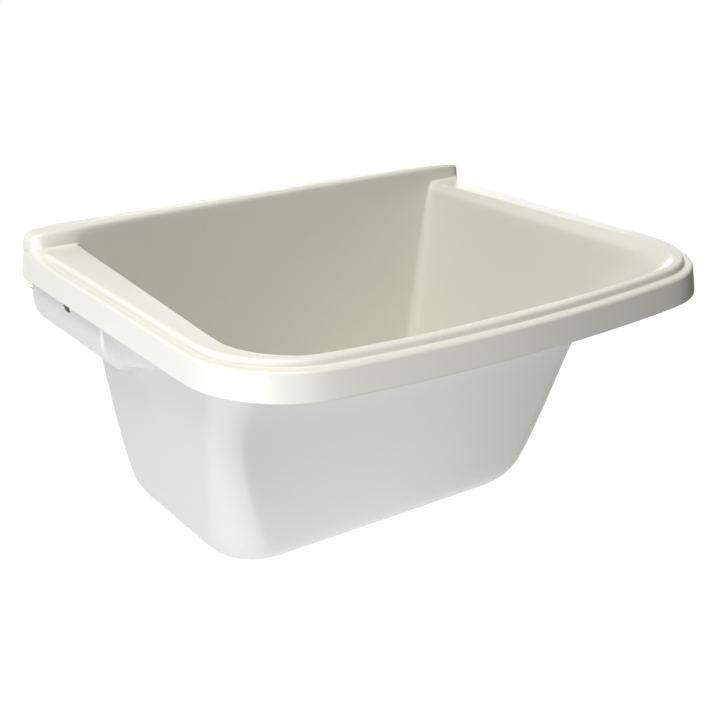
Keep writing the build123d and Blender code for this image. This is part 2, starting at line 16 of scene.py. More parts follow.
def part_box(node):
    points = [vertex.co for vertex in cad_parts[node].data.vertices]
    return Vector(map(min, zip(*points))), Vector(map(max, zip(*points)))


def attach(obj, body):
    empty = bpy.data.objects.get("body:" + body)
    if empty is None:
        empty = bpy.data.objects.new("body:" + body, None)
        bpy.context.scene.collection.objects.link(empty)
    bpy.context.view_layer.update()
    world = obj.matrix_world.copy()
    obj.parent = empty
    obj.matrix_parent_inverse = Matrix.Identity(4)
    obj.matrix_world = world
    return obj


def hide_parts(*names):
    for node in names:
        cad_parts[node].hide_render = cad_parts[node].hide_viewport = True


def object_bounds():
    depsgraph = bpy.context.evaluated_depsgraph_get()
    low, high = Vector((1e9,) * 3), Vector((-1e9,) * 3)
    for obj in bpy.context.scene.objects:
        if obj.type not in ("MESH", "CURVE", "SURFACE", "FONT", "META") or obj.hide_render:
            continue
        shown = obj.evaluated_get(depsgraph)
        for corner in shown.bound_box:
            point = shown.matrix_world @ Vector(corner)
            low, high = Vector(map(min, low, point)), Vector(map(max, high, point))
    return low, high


bl_info = {
    "name": "Laundry sink",
    "version": (1, 0, 0),
    "blender": (4, 5, 0),
    "location": "3D View > Sidebar > Sink",
    "description": "Builds a wall-hung laundry sink, its waste, plug and fixings, and a studio",
    "category": "Object",
}

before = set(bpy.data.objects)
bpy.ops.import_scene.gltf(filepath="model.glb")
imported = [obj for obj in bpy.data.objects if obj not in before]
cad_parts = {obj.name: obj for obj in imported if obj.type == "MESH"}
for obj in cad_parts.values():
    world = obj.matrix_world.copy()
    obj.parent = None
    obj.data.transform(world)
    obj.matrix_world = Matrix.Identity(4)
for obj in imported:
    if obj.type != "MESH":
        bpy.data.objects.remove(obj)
cad_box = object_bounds()
basin_low, basin_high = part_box("basin")
MM = 0.001
LEDGE_LEVEL = 44 * MM


# ---------------------------------------------------------------- properties

def length(name, description, millimetres):
    """A size in millimetres, kept as Blender's metres."""
    return bpy.props.FloatProperty(
        name=name, description=description, default=millimetres * MM, unit="LENGTH", precision=5)


def colour(name, description, rgb):
    """A surface colour, as linear red, green and blue."""
    return bpy.props.FloatVectorProperty(
        name=name, description=description, default=rgb, subtype="COLOR", size=3, min=0, max=1)


def amount(name, description, value):
    """A plain number, such as a share, a count's factor or a lamp's power."""
    return bpy.props.FloatProperty(name=name, description=description, default=value, precision=4)


class RimSizes(bpy.types.PropertyGroup):
    width: length("Width", "Across the faces of the skirt", (basin_high.x - basin_low.x) / MM)
    depth: length("Depth", "From the wall to the middle of the front edge", -basin_low.y / MM)
    ledge: length("Ledge level", "Top of the ledge above the origin", LEDGE_LEVEL / MM)
    bow: length("Front bow", "How far the front edge bows out between its corners", 30)
    corner: length("Front corner", "Plan radius of the front corners", 112)
    heel: length("Skirt heel", "Radius on the skirt's lower rear corners", 9)
    skirt: length("Skirt drop", "Bottom of the skirt below the ledge", 35.5)
    wall: length("Wall", "Thickness of the moulding", 4)
    lean: length("Skirt lean", "How far the skirt's top stands inside its bottom", 5)


class UpstandSizes(bpy.types.PropertyGroup):
    thickness: length("Thickness", "From the wall to the front face", 28)
    rise: length("Rise", "Top of the upstand above the ledge", (basin_high.z - LEDGE_LEVEL) / MM)
    crown: length("Crown", "Fall of the top from the middle to the ends", 5)
    crown_power: amount("Crown power", "How late along the top that fall comes", 8)
    inset: length("End inset", "Ends inside the faces of the skirt", 4.5)
    end_round: length("End rounding", "Radius on the upper corners, seen from the front", 14)
    corner: length("Corner", "Radius on the front corners, seen from above", 15)
    foot_corner: length("Foot corner", "The same radius where the corner meets the ledge", 6)


class BowlSizes(bpy.types.PropertyGroup):
    depth: length("Depth", "From the ledge to the underside of the floor", 320)
    bottom_round: length("Bottom rounding", "Outer radius between the walls and the floor", 42)
    rear_half: length("Rear half width", "Outside, at the ledge, beside the upstand", 247)
    front_half: length("Front half width", "Outside, at the ledge, at the front", 266)
    rear_draft: amount("Rear side draft", "Inward lean of the side walls at the rear", 0.127)
    front_draft: amount("Front side draft", "Inward lean of the side walls at the front", 0.187)
    wall_reach: length("Front wall reach", "Front wall from the wall plane, carried up to the ledge", 341)
    wall_draft: amount("Front wall draft", "Inward lean of the front wall", 0.189)
    apron_reach: length("Apron reach", "Top of the sloping apron from the wall plane", 480)
    apron_run: amount("Apron run", "Run of the apron for each unit of depth", 1.6)
    apron_blend: length("Apron blend", "Softness of the bend between apron and front wall", 40)
    front_corner: length("Front corner", "Plan radius of the front corners, half way down", 30)
    corner_gain: length("Mouth corner gain", "Extra radius of the front corners at the ledge", 60)
    foot_gain: length("Foot corner gain", "Extra radius of all corners at the floor", 38)
    foot_depth: length("Foot depth", "Height over which the corners gain it", 140)
    mouth_bow: length("Mouth bow", "Bow of the front wall at the ledge", 20)
    rear_corner: length("Rear corner", "Plan radius of the rear corners", 16)
    mouth_corner: length("Rear mouth corner", "The same radius at the mouth", 9)
    corner_depth: length("Corner depth", "Depth over which the rear corners gain their full radius", 70)
    mouth_flare: length("Mouth flare", "Run of the sloping band at the mouth, at its widest", 9)
    mouth_drop: length("Mouth drop", "Height of that band", 11)
    rear_flare: amount("Rear flare", "Share of the flare at the rear ends of the sides", 0.33)
    front_flare: amount("Front flare", "Share of the flare along the front", 0.22)
    floor_flat: amount("Floor share", "Share of the bottom rounding at which the flat floor starts", 0.9)


class CheekSizes(bpy.types.PropertyGroup):
    inset: length("Inset", "Side of the cheek behind the skirt's face", 10)
    drop: length("Drop", "Underside of the cheek below the ledge", 98)
    back: length("Back", "Rear edge of the cheek from the wall", 2)
    reach: length("Reach", "Front of the cheek from the wall", 183)
    belly: length("Belly", "Radius of the lower edge", 38)
    nose: length("Nose", "Radius of the front edge", 5)
    taper: length("Taper", "How far the front runs on until it meets the bowl", 24)
    port_radius: length("Port radius", "Round hole in the side of the cheek", 13)
    port_drop: length("Port drop", "Centre of the port below the ledge", 37)
    port_reach: length("Port reach", "Centre of the port from the wall", 99)


class WasteSizes(bpy.types.PropertyGroup):
    reach: length("Reach", "Centre line of the waste from the wall", 145)
    hole: length("Hole radius", "Hole through the floor", 27)
    recess: length("Recess radius", "Shallow recess round the waste", 38)
    recess_depth: length("Recess depth", "Depth of that recess", 4)
    boss: length("Boss radius", "Thicker floor round the waste, underneath", 46)
    seal: length("Plate seal", "Thickness of the seal under the plate", 1.5)
    body_seal: length("Body seal", "Thickness of the seal on the waste body", 3)
    setback: length("Seal setback", "Seals stop short of the rims that squeeze them", 1.5)
    plate: length("Plate", "Thickness of the strainer plate", 1.2)
    plate_radius: length("Plate radius", "Rim of the strainer plate", 35)
    dish: length("Dish radius", "Top of the dish, outside", 25.5)
    dish_floor: length("Dish floor radius", "Bottom of the dish, outside", 23)
    dish_depth: length("Dish depth", "From the plate to the underside of the dish", 16)
    inner_count: bpy.props.IntProperty(name="Inner holes", description="Holes in the inner ring", default=6)
    inner_ring: length("Inner ring", "Radius of the inner ring of holes", 8.5)
    inner_hole: length("Inner hole", "Radius of its holes", 2.2)
    outer_count: bpy.props.IntProperty(name="Outer holes", description="Holes in the outer ring", default=10)
    outer_ring: length("Outer ring", "Radius of the outer ring of holes", 15)
    outer_hole: length("Outer hole", "Radius of its holes", 2.6)
    body_rim: length("Body rim", "Radius of the waste body's rim", 39)
    body_rim_height: length("Body rim height", "Thickness of that rim", 5)
    body_wall: length("Body wall", "Wall of the waste body", 3.4)
    dish_play: length("Dish play", "Gap between the dish and the body", 0.8)
    tail: length("Tail radius", "Crests of the thread on the tail", 23.9)
    tail_length: length("Tail length", "Length of the tail", 20)
    shoulder: length("Shoulder", "Cone between the neck and the tail", 5)
    spider: length("Spider height", "Height of the hub and its arms", 8)
    hub: length("Hub radius", "Hub that takes the screw", 7)
    arm: length("Arm width", "Width of the spider's arms", 3)
    pitch: length("Thread pitch", "Pitch of the tail's thread", 2.8)
    crest: length("Thread depth", "Depth of the tail's thread", 1.1)
    screw: length("Screw radius", "Shank of the waste screw", 3)
    screw_head: length("Screw head radius", "Head of the waste screw", 5.4)
    screw_height: length("Screw head height", "Height of that head", 2.2)
    screw_slot: length("Screw slot", "Width and depth of its slot", 1.2)


class PlugSizes(bpy.types.PropertyGroup):
    head: length("Head radius", "Flange that rests on the dish", 28)
    height: length("Head height", "Thickness of that flange", 5)
    play: length("Play", "Gap between the plug and the dish", 0.3)
    clear: length("Clearance", "Gap above the waste screw", 1.5)
    lug_width: length("Lug width", "Thickness of the lug", 5)
    lug: length("Lug radius", "Rounding of the lug round its eye", 4.4)
    eye_height: length("Eye height", "Eye above the top of the plug", 2.7)
    wire: length("Ring wire", "Radius of the pull ring's wire", 1.25)
    ring: length("Ring radius", "Centre line of the pull ring", 12)


class FixingSizes(bpy.types.PropertyGroup):
    spacing_x: length("Spacing across", "Between the left and right wall screws", 544)
    spacing_z: length("Spacing up", "Between the upper and lower wall screws", 36)
    plate: length("Bracket sheet", "Sheet thickness of the brackets", 3)
    washer: length("Washer radius", "Washers under the heads", 8)
    washer_height: length("Washer thickness", "Thickness of the washers", 1.6)
    across: length("Head across flats", "Hexagon heads", 13)
    head_height: length("Head height", "Height of the hexagon heads", 5.5)
    shank: length("Shank radius", "Plain shank of the wall screws", 3.5)
    thread: length("Thread radius", "Crests of their thread", 4)
    pitch: length("Thread pitch", "Pitch of their thread", 3.6)
    screw_length: length("Screw length", "Wall screws, under the head", 60)
    point: length("Screw point", "Length of their point", 8)
    bracket_drop: length("Bracket drop", "Top of the brackets below the ledge", 14)
    boss_reach: length("Boss reach", "Screw bosses under the ledge, from the wall", 112)
    boss: length("Boss radius", "Radius of those bosses", 7)
    basin_screw: length("Basin screw radius", "Crests of the screws into the bosses", 2.1)
    basin_head: length("Basin screw head", "Radius of their heads", 4.5)
    basin_head_height: length("Basin screw head height", "Height of their heads", 2.8)
    bite: length("Basin screw bite", "Length inside the bosses", 8)
    rib_first: length("First rib", "First rib on each bracket, from the wall", 24)
    rib_last: length("Last rib", "Last rib on each bracket, from the wall", 146)
    rib: length("Rib thickness", "Thickness of the ribs", 3)
    rib_inner: length("Rib start", "Inner end of the ribs from the middle", 259)
    rib_outer: length("Rib end", "Outer end of the ribs, inside the bead", 282)


class CameraSettings(bpy.types.PropertyGroup):
    place: bpy.props.FloatVectorProperty(
        name="Place", description="Where the camera stands", subtype="TRANSLATION", unit="LENGTH",
        default=(-0.76129, -1.31361, 0.43622), precision=5)
    yaw: bpy.props.FloatProperty(
        name="Yaw", description="Turn of the view from +Y towards +X", subtype="ANGLE",
        default=math.radians(34.769))
    pitch: bpy.props.FloatProperty(
        name="Pitch", description="How far the view looks down", subtype="ANGLE",
        default=math.radians(21.444))
    roll: bpy.props.FloatProperty(
        name="Roll", description="Turn about the line of view", subtype="ANGLE",
        default=math.radians(-0.259))
    lens: amount("Lens", "Focal length in millimetres on a 36 mm sensor", 64.117)


class StudioSettings(bpy.types.PropertyGroup):
    card_x: length("Card", "Dark card to the right of the sink", 1500)
    floor_drop: length("Floor drop", "Floor below the lowest point of the sink", 480)
    ambient: amount("Ambient", "Level of the even light from all round", 0.10)
    key_power: amount("Key power", "Power of the large lamp above on the left, in watts", 113.0)
    low_power: amount("Low power", "Power of the cool lamp low on the left, in watts", 23.0)
    fill_power: amount("Fill power", "Power of the narrow lamp below the front, in watts", 0.8)
    back_power: amount("Back power", "Power of the lamp behind on the right, in watts", 40.0)
    floor_glow: amount("Floor glow", "How much of the floor's white doesn't take the shadow", 0.80)
    floor_level: amount("Floor level", "Brightness of that share of the white", 1.25)


class Finishes(bpy.types.PropertyGroup):
    plastic: colour("Basin plastic", "Ivory white moulded plastic", (0.70, 0.70, 0.635))
    steel: colour("Strainer steel", "Pressed stainless steel", (0.55, 0.56, 0.57))
    rubber: colour("Rubber", "Black rubber of the plug and the seals", (0.022, 0.022, 0.023))
    chrome: colour("Pull ring", "Bright plated wire", (0.72, 0.73, 0.74))
    waste: colour("Waste plastic", "White plastic of the waste body", (0.72, 0.72, 0.70))
    paint: colour("Bracket paint", "White powder coat", (0.70, 0.70, 0.67))
    zinc: colour("Zinc", "Zinc-plated steel", (0.48, 0.49, 0.50))


GROUPS = {
    "sink_rim": RimSizes,
    "sink_upstand": UpstandSizes,
    "sink_bowl": BowlSizes,
    "sink_cheek": CheekSizes,
    "sink_waste": WasteSizes,
    "sink_plug": PlugSizes,
    "sink_fixings": FixingSizes,
    "sink_camera": CameraSettings,
    "sink_studio": StudioSettings,
    "sink_finishes": Finishes,
}


def settings(name):
    """The scene's property group of that name."""
    return getattr(bpy.context.scene, "sink_" + name)


# ---------------------------------------------------------------- node trees

class Signal:
    """A socket that takes part in Python arithmetic; each operation adds one Math node."""

    def __init__(self, nodes, socket):
        self.nodes = nodes
        self.socket = socket

    def math(self, operation, first, second=0.0):
        return self.nodes.add("ShaderNodeMath", {"operation": operation}, {0: first, 1: second})

    def __add__(self, other):
        return self.math("ADD", self, other)

    def __sub__(self, other):
        return self.math("SUBTRACT", self, other)

    def __mul__(self, other):
        return self.math("MULTIPLY", self, other)

    def __truediv__(self, other):
        return self.math("DIVIDE", self, other)

    def __pow__(self, other):
        return self.math("POWER", self, other)

    def __radd__(self, other):
        return self.math("ADD", other, self)

    def __rsub__(self, other):
        return self.math("SUBTRACT", other, self)

    def __rmul__(self, other):
        return self.math("MULTIPLY", other, self)


class Nodes:
    """A node tree with one method for adding nodes: type, settings first, then its sockets."""

    def __init__(self, tree):
        self.tree = tree

    def add(self, kind, settings=None, sockets=None, output=0):
        node = self.tree.nodes.new(kind)
        for name, value in (settings or {}).items():
            if name == "stops":
                self.set_stops(node.color_ramp, value)
            else:
                setattr(node, name, value)
        for key, value in (sockets or {}).items():
            self.plug(node.inputs[key], value)
        return Signal(self, node.outputs[output])

    def plug(self, socket, value):
        if isinstance(value, Signal):
            self.tree.links.new(value.socket, socket)
        else:
            socket.default_value = value

    @staticmethod
    def set_stops(ramp, stops):
        while len(ramp.elements) < len(stops):
            ramp.elements.new(0.5)
        for element, (place, level) in zip(ramp.elements, stops):
            element.position = place
            element.color = (level, level, level, 1)


class Finish(Nodes):
    """One material: its Principled shader and the patterns that feed it, on Object coordinates."""

    def __init__(self, name, **constants):
        self.material = bpy.data.materials.new(name)
        self.material.use_nodes = True
        super().__init__(self.material.node_tree)
        self.shader = self.tree.nodes["Principled BSDF"]
        for socket, value in constants.items():
            self.shader.inputs[socket.replace("_", " ")].default_value = value
        self.place = self.add("ShaderNodeTexCoord", output="Object")

    def noise(self, scale, detail=2.0, stretch=None):
        """Noise from 0 to 1, in cells per metre, drawn out where a stretch is given."""
        place = self.place
        if stretch:
            place = self.add("ShaderNodeMapping", None, {"Vector": place, "Scale": stretch})
        sockets = {"Vector": place, "Scale": scale, "Detail": detail}
        return self.add("ShaderNodeTexNoise", None, sockets)

    def shades(self, factor, rgb, low, high):
        """The colour between two brightnesses of itself."""
        dark, light = ([min(1.0, c * level) for c in rgb] + [1.0] for level in (low, high))
        sockets = {0: factor, 6: dark, 7: light}
        return self.add("ShaderNodeMix", {"data_type": "RGBA"}, sockets, 2)

    def relief(self, height, distance, strength=1.0):
        """Bump of that height pattern, its full step in metres."""
        sockets = {"Height": height, "Distance": distance, "Strength": strength}
        self.plug(self.shader.inputs["Normal"], self.add("ShaderNodeBump", None, sockets))

    def paint(self, base=None, roughness=None):
        if base is not None:
            self.plug(self.shader.inputs["Base Color"], base)
        if roughness is not None:
            self.plug(self.shader.inputs["Roughness"], roughness)
        return self.material


def plastic_finish():
    """Ivory moulded plastic: satin gloss, faint flow waviness and a fine grain."""
    rgb = settings("finishes").plastic
    made = Finish("basin_plastic", IOR=1.49)
    flow = made.noise(scale=5.0, detail=3.0, stretch=(1.0, 1.0, 0.5))
    grain = made.noise(scale=900.0, detail=2.0)
    waves = made.noise(scale=28.0, detail=1.0)
    made.relief(grain * 0.25 + waves, distance=0.00006, strength=0.35)
    return made.paint(made.shades(flow, rgb, low=0.975, high=1.02), 0.24 + flow * 0.10 + grain * 0.04)


def steel_finish(name, rgb, roughness, stretch):
    """Brushed or plated metal with fine lines drawn out along one direction."""
    made = Finish(name, Metallic=1.0)
    lines = made.noise(scale=700.0, detail=3.0, stretch=stretch)
    stains = made.noise(scale=60.0, detail=3.0)
    made.relief(lines, distance=0.00003, strength=0.5)
    return made.paint(made.shades(stains, rgb, low=0.88, high=1.05), roughness + lines * 0.14 + stains * 0.06)


def rubber_finish(name):
    """Black rubber with a fine matt skin and faint lighter bloom."""
    rgb = settings("finishes").rubber
    made = Finish(name)
    bloom = made.noise(scale=90.0, detail=4.0)
    skin = made.noise(scale=2400.0, detail=2.0)
    made.relief(skin, distance=0.00004, strength=0.6)
    return made.paint(made.shades(bloom, rgb, low=0.8, high=1.7), 0.5 + bloom * 0.2)


def chrome_finish():
    """Bright plated wire with the faintest wear."""
    made = Finish("ring_chrome", Metallic=1.0)
    wear = made.noise(scale=260.0, detail=4.0)
    made.relief(wear, distance=0.00001, strength=0.4)
    return made.paint(made.shades(wear, settings("finishes").chrome, low=0.92, high=1.04), 0.07 + wear * 0.08)


def moulded_finish(name, rgb, roughness):
    """Plain moulded plastic or powder coat: even colour, fine orange peel."""
    made = Finish(name)
    peel = made.noise(scale=1300.0, detail=1.0)
    flow = made.noise(scale=30.0, detail=3.0)
    made.relief(peel, distance=0.00005, strength=0.5)
    return made.paint(made.shades(flow, rgb, low=0.95, high=1.03), roughness + flow * 0.10)


# ---------------------------------------------------------------- geometry patterns

HOLE_SIDES = 28  # sides of the drills
THREAD_STEPS = 40  # steps in each turn of a thread
THREAD_SIDES = 4  # sides of its section


class Pattern(Nodes):
    """A geometry tree with named inputs, run on a piece as a modifier and baked."""

    def __init__(self, name, inputs):
        tree = bpy.data.node_groups.new(name, "GeometryNodeTree")
        super().__init__(tree)
        tree.is_modifier = True
        tree.interface.new_socket("Geometry", in_out="INPUT", socket_type="NodeSocketGeometry")
        tree.interface.new_socket("Geometry", in_out="OUTPUT", socket_type="NodeSocketGeometry")
        for label, kind in {**inputs, "Material": "Material"}.items():
            tree.interface.new_socket(label, in_out="INPUT", socket_type="NodeSocket" + kind)
        self.source = tree.nodes.new("NodeGroupInput")

    def given(self, label):
        return Signal(self, self.source.outputs[label])

    def join(self, *parts):
        """Several geometries as one."""
        together = self.add("GeometryNodeJoinGeometry")
        for part in parts:
            self.tree.links.new(part.socket, together.socket.node.inputs[0])
        return together

    def copies(self, points, item, turn=None):
        """An item on each of the points, turned there if a turn is given."""
        sockets = {"Points": points, "Instance": item}
        if turn:
            sockets["Rotation"] = turn
        return self.add("GeometryNodeInstanceOnPoints", None, sockets)

    def finish(self, geometry):
        """Real geometry in the given material is the tree's result."""
        real = self.add("GeometryNodeRealizeInstances", None, {"Geometry": geometry})
        sockets = {"Geometry": real, "Material": self.given("Material")}
        painted = self.add("GeometryNodeSetMaterial", None, sockets)
        output = self.tree.nodes.new("NodeGroupOutput")
        self.plug(output.inputs[0], painted)
        return self

    def run(self, piece, material, values):
        """Runs the tree on a piece with those inputs and bakes the result."""
        modifier = piece.modifiers.new(self.tree.name, "NODES")
        modifier.node_group = self.tree
        for item in self.tree.interface.items_tree:
            if item.in_out == "INPUT" and item.name in values:
                modifier[item.identifier] = values[item.name]
            elif item.in_out == "INPUT" and item.name == "Material":
                modifier[item.identifier] = material
        return baked(piece)


def grid_pattern():
    """Copies of a piece in columns and rows, each a number of steps along its own direction."""
    made = Pattern("grid_of_items", {
        "Start": "Vector", "Columns": "Int", "Column step": "Vector", "Rows": "Int", "Row step": "Vector"})
    columns = {"Count": made.given("Columns"), "Start Location": made.given("Start"),
               "Offset": made.given("Column step")}
    rows = {"Count": made.given("Rows"), "Offset": made.given("Row step")}
    across, up = (made.add("GeometryNodeMeshLine", {"mode": "OFFSET"}, line) for line in (columns, rows))
    points = made.add("GeometryNodeRealizeInstances", None, {"Geometry": made.copies(across, up)})
    return made.finish(made.copies(points, made.given("Geometry")))


def on_both_sides(piece, material, x, y, z=0.0, rows=1, step=(0.0, 0.0, 0.0)):
    """Copies of a piece to the left and the right of the middle, in rows a step apart."""
    values = {"Start": (-x, y, z), "Columns": 2, "Column step": (2 * x, 0.0, 0.0), "Rows": rows,
              "Row step": step}
    return grid_pattern().run(piece, material, values)


def ring_points(made, radius):
    """Points of a horizontal circle and the turn of each about its centre, as a vector."""
    sockets = {"Vertices": made.given("Count"), "Radius": radius}
    circle = made.add("GeometryNodeMeshCircle", None, sockets)
    turn = made.add("GeometryNodeInputIndex") * (2 * math.pi) / made.given("Count")
    return circle, made.add("ShaderNodeCombineXYZ", None, {"Z": turn})


def spokes_pattern():
    """Copies of a piece turned about the vertical axis through its own origin."""
    made = Pattern("spokes", {"Count": "Int"})
    circle, turn = ring_points(made, 0.0)
    return made.finish(made.copies(circle, made.given("Geometry"), turn))


def holes_pattern():
    """A ring of round holes cut through a piece."""
    made = Pattern("ring_of_holes", {
        "Count": "Int", "Circle radius": "Float", "Hole radius": "Float", "Centre": "Vector",
        "Depth": "Float"})
    circle, turn = ring_points(made, made.given("Circle radius"))
    sockets = {"Vertices": HOLE_SIDES, "Radius": made.given("Hole radius"), "Depth": made.given("Depth")}
    drill = made.add("GeometryNodeMeshCylinder", None, sockets)
    sockets = {"Geometry": made.copies(circle, drill, turn), "Translation": made.given("Centre")}
    drills = made.add("GeometryNodeTransform", None, sockets)
    drills = made.add("GeometryNodeRealizeInstances", None, {"Geometry": drills})
    sockets = {"Mesh 1": made.given("Geometry"), "Mesh 2": drills}
    cut = made.add("GeometryNodeMeshBoolean", {"operation": "DIFFERENCE", "solver": "EXACT"}, sockets)
    return made.finish(cut)


def thread_pattern():
    """A screw thread wound on a piece: its crests at the radius, its foot inside the core."""
    made = Pattern("thread", {
        "Radius": "Float", "Crest": "Float", "Pitch": "Float", "Turns": "Float", "Start": "Vector"})
    core = made.given("Radius") - made.given("Crest")
    sockets = {"Resolution": THREAD_STEPS, "Rotations": made.given("Turns"), "Start Radius": core,
               "End Radius": core, "Height": made.given("Pitch") * made.given("Turns")}
    spiral = made.add("GeometryNodeCurveSpiral", None, sockets)
    spiral = made.add("GeometryNodeSetCurveNormal", {"mode": "Z_UP"}, {"Curve": spiral})
    sockets = {"Resolution": THREAD_SIDES, "Radius": made.given("Crest")}
    section = made.add("GeometryNodeCurvePrimitiveCircle", None, sockets)
    sockets = {"Curve": spiral, "Profile Curve": section, "Fill Caps": True}
    ridge = made.add("GeometryNodeCurveToMesh", None, sockets)
    sockets = {"Geometry": ridge, "Translation": made.given("Start")}
    ridge = made.add("GeometryNodeTransform", None, sockets)
    return made.finish(made.join(made.given("Geometry"), ridge))


# ---------------------------------------------------------------- plan outlines

SIDE_STEPS = 6  # points between the corners of a side
REAR_STEPS = 4  # steps round each rear corner
CORNER_STEPS = 8  # steps round each front corner
FRONT_STEPS = 5  # steps from a front corner to the middle of the front
BACK_STEPS = 14  # steps across the rear wall
REAR_OFFSETS = (0.0, 5.0, 14.0, 27.0, 42.0)  # rim lines: distance before the upstand, in millimetres
REAR_BLENDS = (0.0, 0.06, 0.35, 0.8, 1.0)  # how far the bead has formed at each of these
LEAST_BOW = 1.0 * MM  # least bow and least radii that a bowl outline may shrink to
LEAST_REAR = 4.0 * MM
LEAST_FRONT = 8.0 * MM
FOOT_POWER = 1.5  # how late the corners' gain at the floor comes
BEARING_SHARE = 0.35  # how far points round the waste keep the bearings of the floor's points


def turned(centre, radius, start, end, steps):
    """Points of an arc. Inner ones stand out a little, so that the rounded cage meets the arc."""
    step = (end - start) / steps
    swell = 3.0 / (2.0 + math.cos(step))
    points = []
    for i in range(steps + 1):
        reach = radius * (swell if 0 < i < steps else 1.0)
        angle = start + step * i
        points.append((centre[0] + reach * math.cos(angle), centre[1] + reach * math.sin(angle)))
    return points


def half_outline(rear_half, front_half, rear_y, front_y, bow, rear_corner, front_corner):
    """Right half of a bowl's plan, from the rear wall round to the middle of the front."""
    side_top = np.array((rear_half, rear_y))
    side_end = np.array((front_half, front_y + bow))
    along = (side_end - side_top) / np.linalg.norm(side_end - side_top)
    inward = np.array((along[1], -along[0]))
    if inward[0] > 0:
        inward = -inward
    points = []
    # rear corner
    centre_y = rear_y - rear_corner
    t = (centre_y - side_top[1] - rear_corner * inward[1]) / along[1]
    centre = side_top + along * t + inward * rear_corner
    out = -inward
    points += turned(centre, rear_corner, math.pi / 2, math.atan2(out[1], out[0]), REAR_STEPS)
    # front corner: the circle that touches the side and the bowed front
    arc_radius = (front_half**2 + bow**2) / (2 * bow)
    arc_centre = np.array((0.0, front_y + arc_radius))
    base = side_top + inward * front_corner - arc_centre
    b = base @ along
    c = base @ base - (arc_radius - front_corner) ** 2
    t = -b + math.sqrt(b * b - c)
    corner = side_top + inward * front_corner + along * t
    away = (corner - arc_centre) / np.linalg.norm(corner - arc_centre)
    side_point = corner - inward * front_corner
    start = np.array(points[-1])
    for i in range(1, SIDE_STEPS + 1):
        points.append(tuple(start + (side_point - start) * i / (SIDE_STEPS + 1)))
    first = math.atan2(out[1], out[0])
    last = math.atan2(away[1], away[0])
    points += turned(corner, front_corner, first, last, CORNER_STEPS)
    for i in range(1, FRONT_STEPS + 1):
        angle = last + (-math.pi / 2 - last) * i / FRONT_STEPS
        points.append((arc_radius * math.cos(angle), arc_centre[1] + arc_radius * math.sin(angle)))
    return np.array(points)


def whole(half):
    """A right half and its mirror image as one run, from the right rear round to the left rear."""
    return np.vstack([half, (half * ([-1] + [1] * (half.shape[1] - 1)))[-2::-1]])


def rim_line(full, plain, stop_y):
    """A rim line from where it meets the upstand round to the other side.

    It has its full inset and drop all round, and its plain ones beside the upstand.
    """
    rim = settings("rim")
    up = settings("upstand")
    inset, drop = full
    half = rim.width / 2 - inset
    plan = half_outline(
        half, half, -up.thickness, -rim.depth + inset, rim.bow, rim.corner / 4, rim.corner - inset)
    run = raised(plan, rim.ledge - drop)
    for i, (offset, share) in enumerate(zip(REAR_OFFSETS, REAR_BLENDS)):
        here = np.array(plain) * (1 - share) + np.array(full) * share
        ease = 1 - offset / REAR_OFFSETS[-1]
        y = -up.thickness - offset * MM + (stop_y + up.thickness) * ease
        run[i] = (rim.width / 2 - here[0], y, rim.ledge - here[1])
    start, end = run[REAR_STEPS], run[REAR_STEPS + SIDE_STEPS + 1]
    for i in range(1, SIDE_STEPS + 1):
        run[REAR_STEPS + i] = start + (end - start) * i / (SIDE_STEPS + 1)
    return whole(run)


def front_wall(depth):
    """Reach of the bowl's front at one depth, the apron's share in it and its run per unit of depth."""
    bowl = settings("bowl")
    steep = bowl.wall_reach - bowl.wall_draft * depth
    ahead = bowl.apron_reach - bowl.apron_run * depth - steep
    blend = math.hypot(ahead, bowl.apron_blend)
    run = bowl.wall_draft + (bowl.apron_run - bowl.wall_draft) * (1 + ahead / blend) / 2
    return steep + (ahead + blend) / 2, (ahead + blend) / 2, run


def bowl_line(depth, wall, inset=0.0, flare=0.0):
    """Plan of the bowl at one depth, closed, moved in by its wall and an inset, flared at the mouth."""
    bowl = settings("bowl")
    up = settings("upstand")
    reach, lead, run = front_wall(depth)
    share = lead / front_wall(0)[1]
    grown = min(max((depth - bowl.mouth_drop) / bowl.corner_depth, 0.0), 1.0)
    foot = bowl.foot_gain * max(1 - (bowl.depth - depth) / bowl.foot_depth, 0.0) ** FOOT_POWER
    rear_corner = bowl.mouth_corner + (bowl.rear_corner - bowl.mouth_corner) * grown + foot
    half = half_outline(
        bowl.rear_half - bowl.rear_draft * depth - wall - inset + flare * bowl.rear_flare,
        bowl.front_half - bowl.front_draft * depth - wall - inset + flare,
        settings("rim").wall - up.thickness - wall - inset,
        -reach + wall * math.hypot(1, run) + inset - flare * bowl.front_flare,
        max(bowl.mouth_bow * share, LEAST_BOW),
        max(rear_corner - wall - inset, LEAST_REAR),
        max(bowl.front_corner + bowl.corner_gain * share + foot - wall - inset, LEAST_FRONT),
    )
    run_round = whole(half)
    left, right = run_round[-1], run_round[0]
    back = [left + (right - left) * i / BACK_STEPS for i in range(1, BACK_STEPS)]
    return raised(np.vstack([run_round, back]), settings("rim").ledge - depth)


def mouth_line(row, inner):
    """Plan of the bowl at one row of its mouth band, on the upper or the lower face of the moulding."""
    wall, bowl = settings("rim").wall, settings("bowl")
    flare, drop, facing = MOUTH_ROWS[row]
    flare, depth = flare * bowl.mouth_flare, drop * bowl.mouth_drop
    if inner:
        return bowl_line(depth + wall * math.sqrt(1 - facing**2), 0.0, flare=flare - wall * (1 - facing))
    return bowl_line(depth, wall, flare=flare)


def raised(plan, level):
    """A plan with its height added to each point."""
    return np.column_stack([plan, np.full(len(plan), level)])


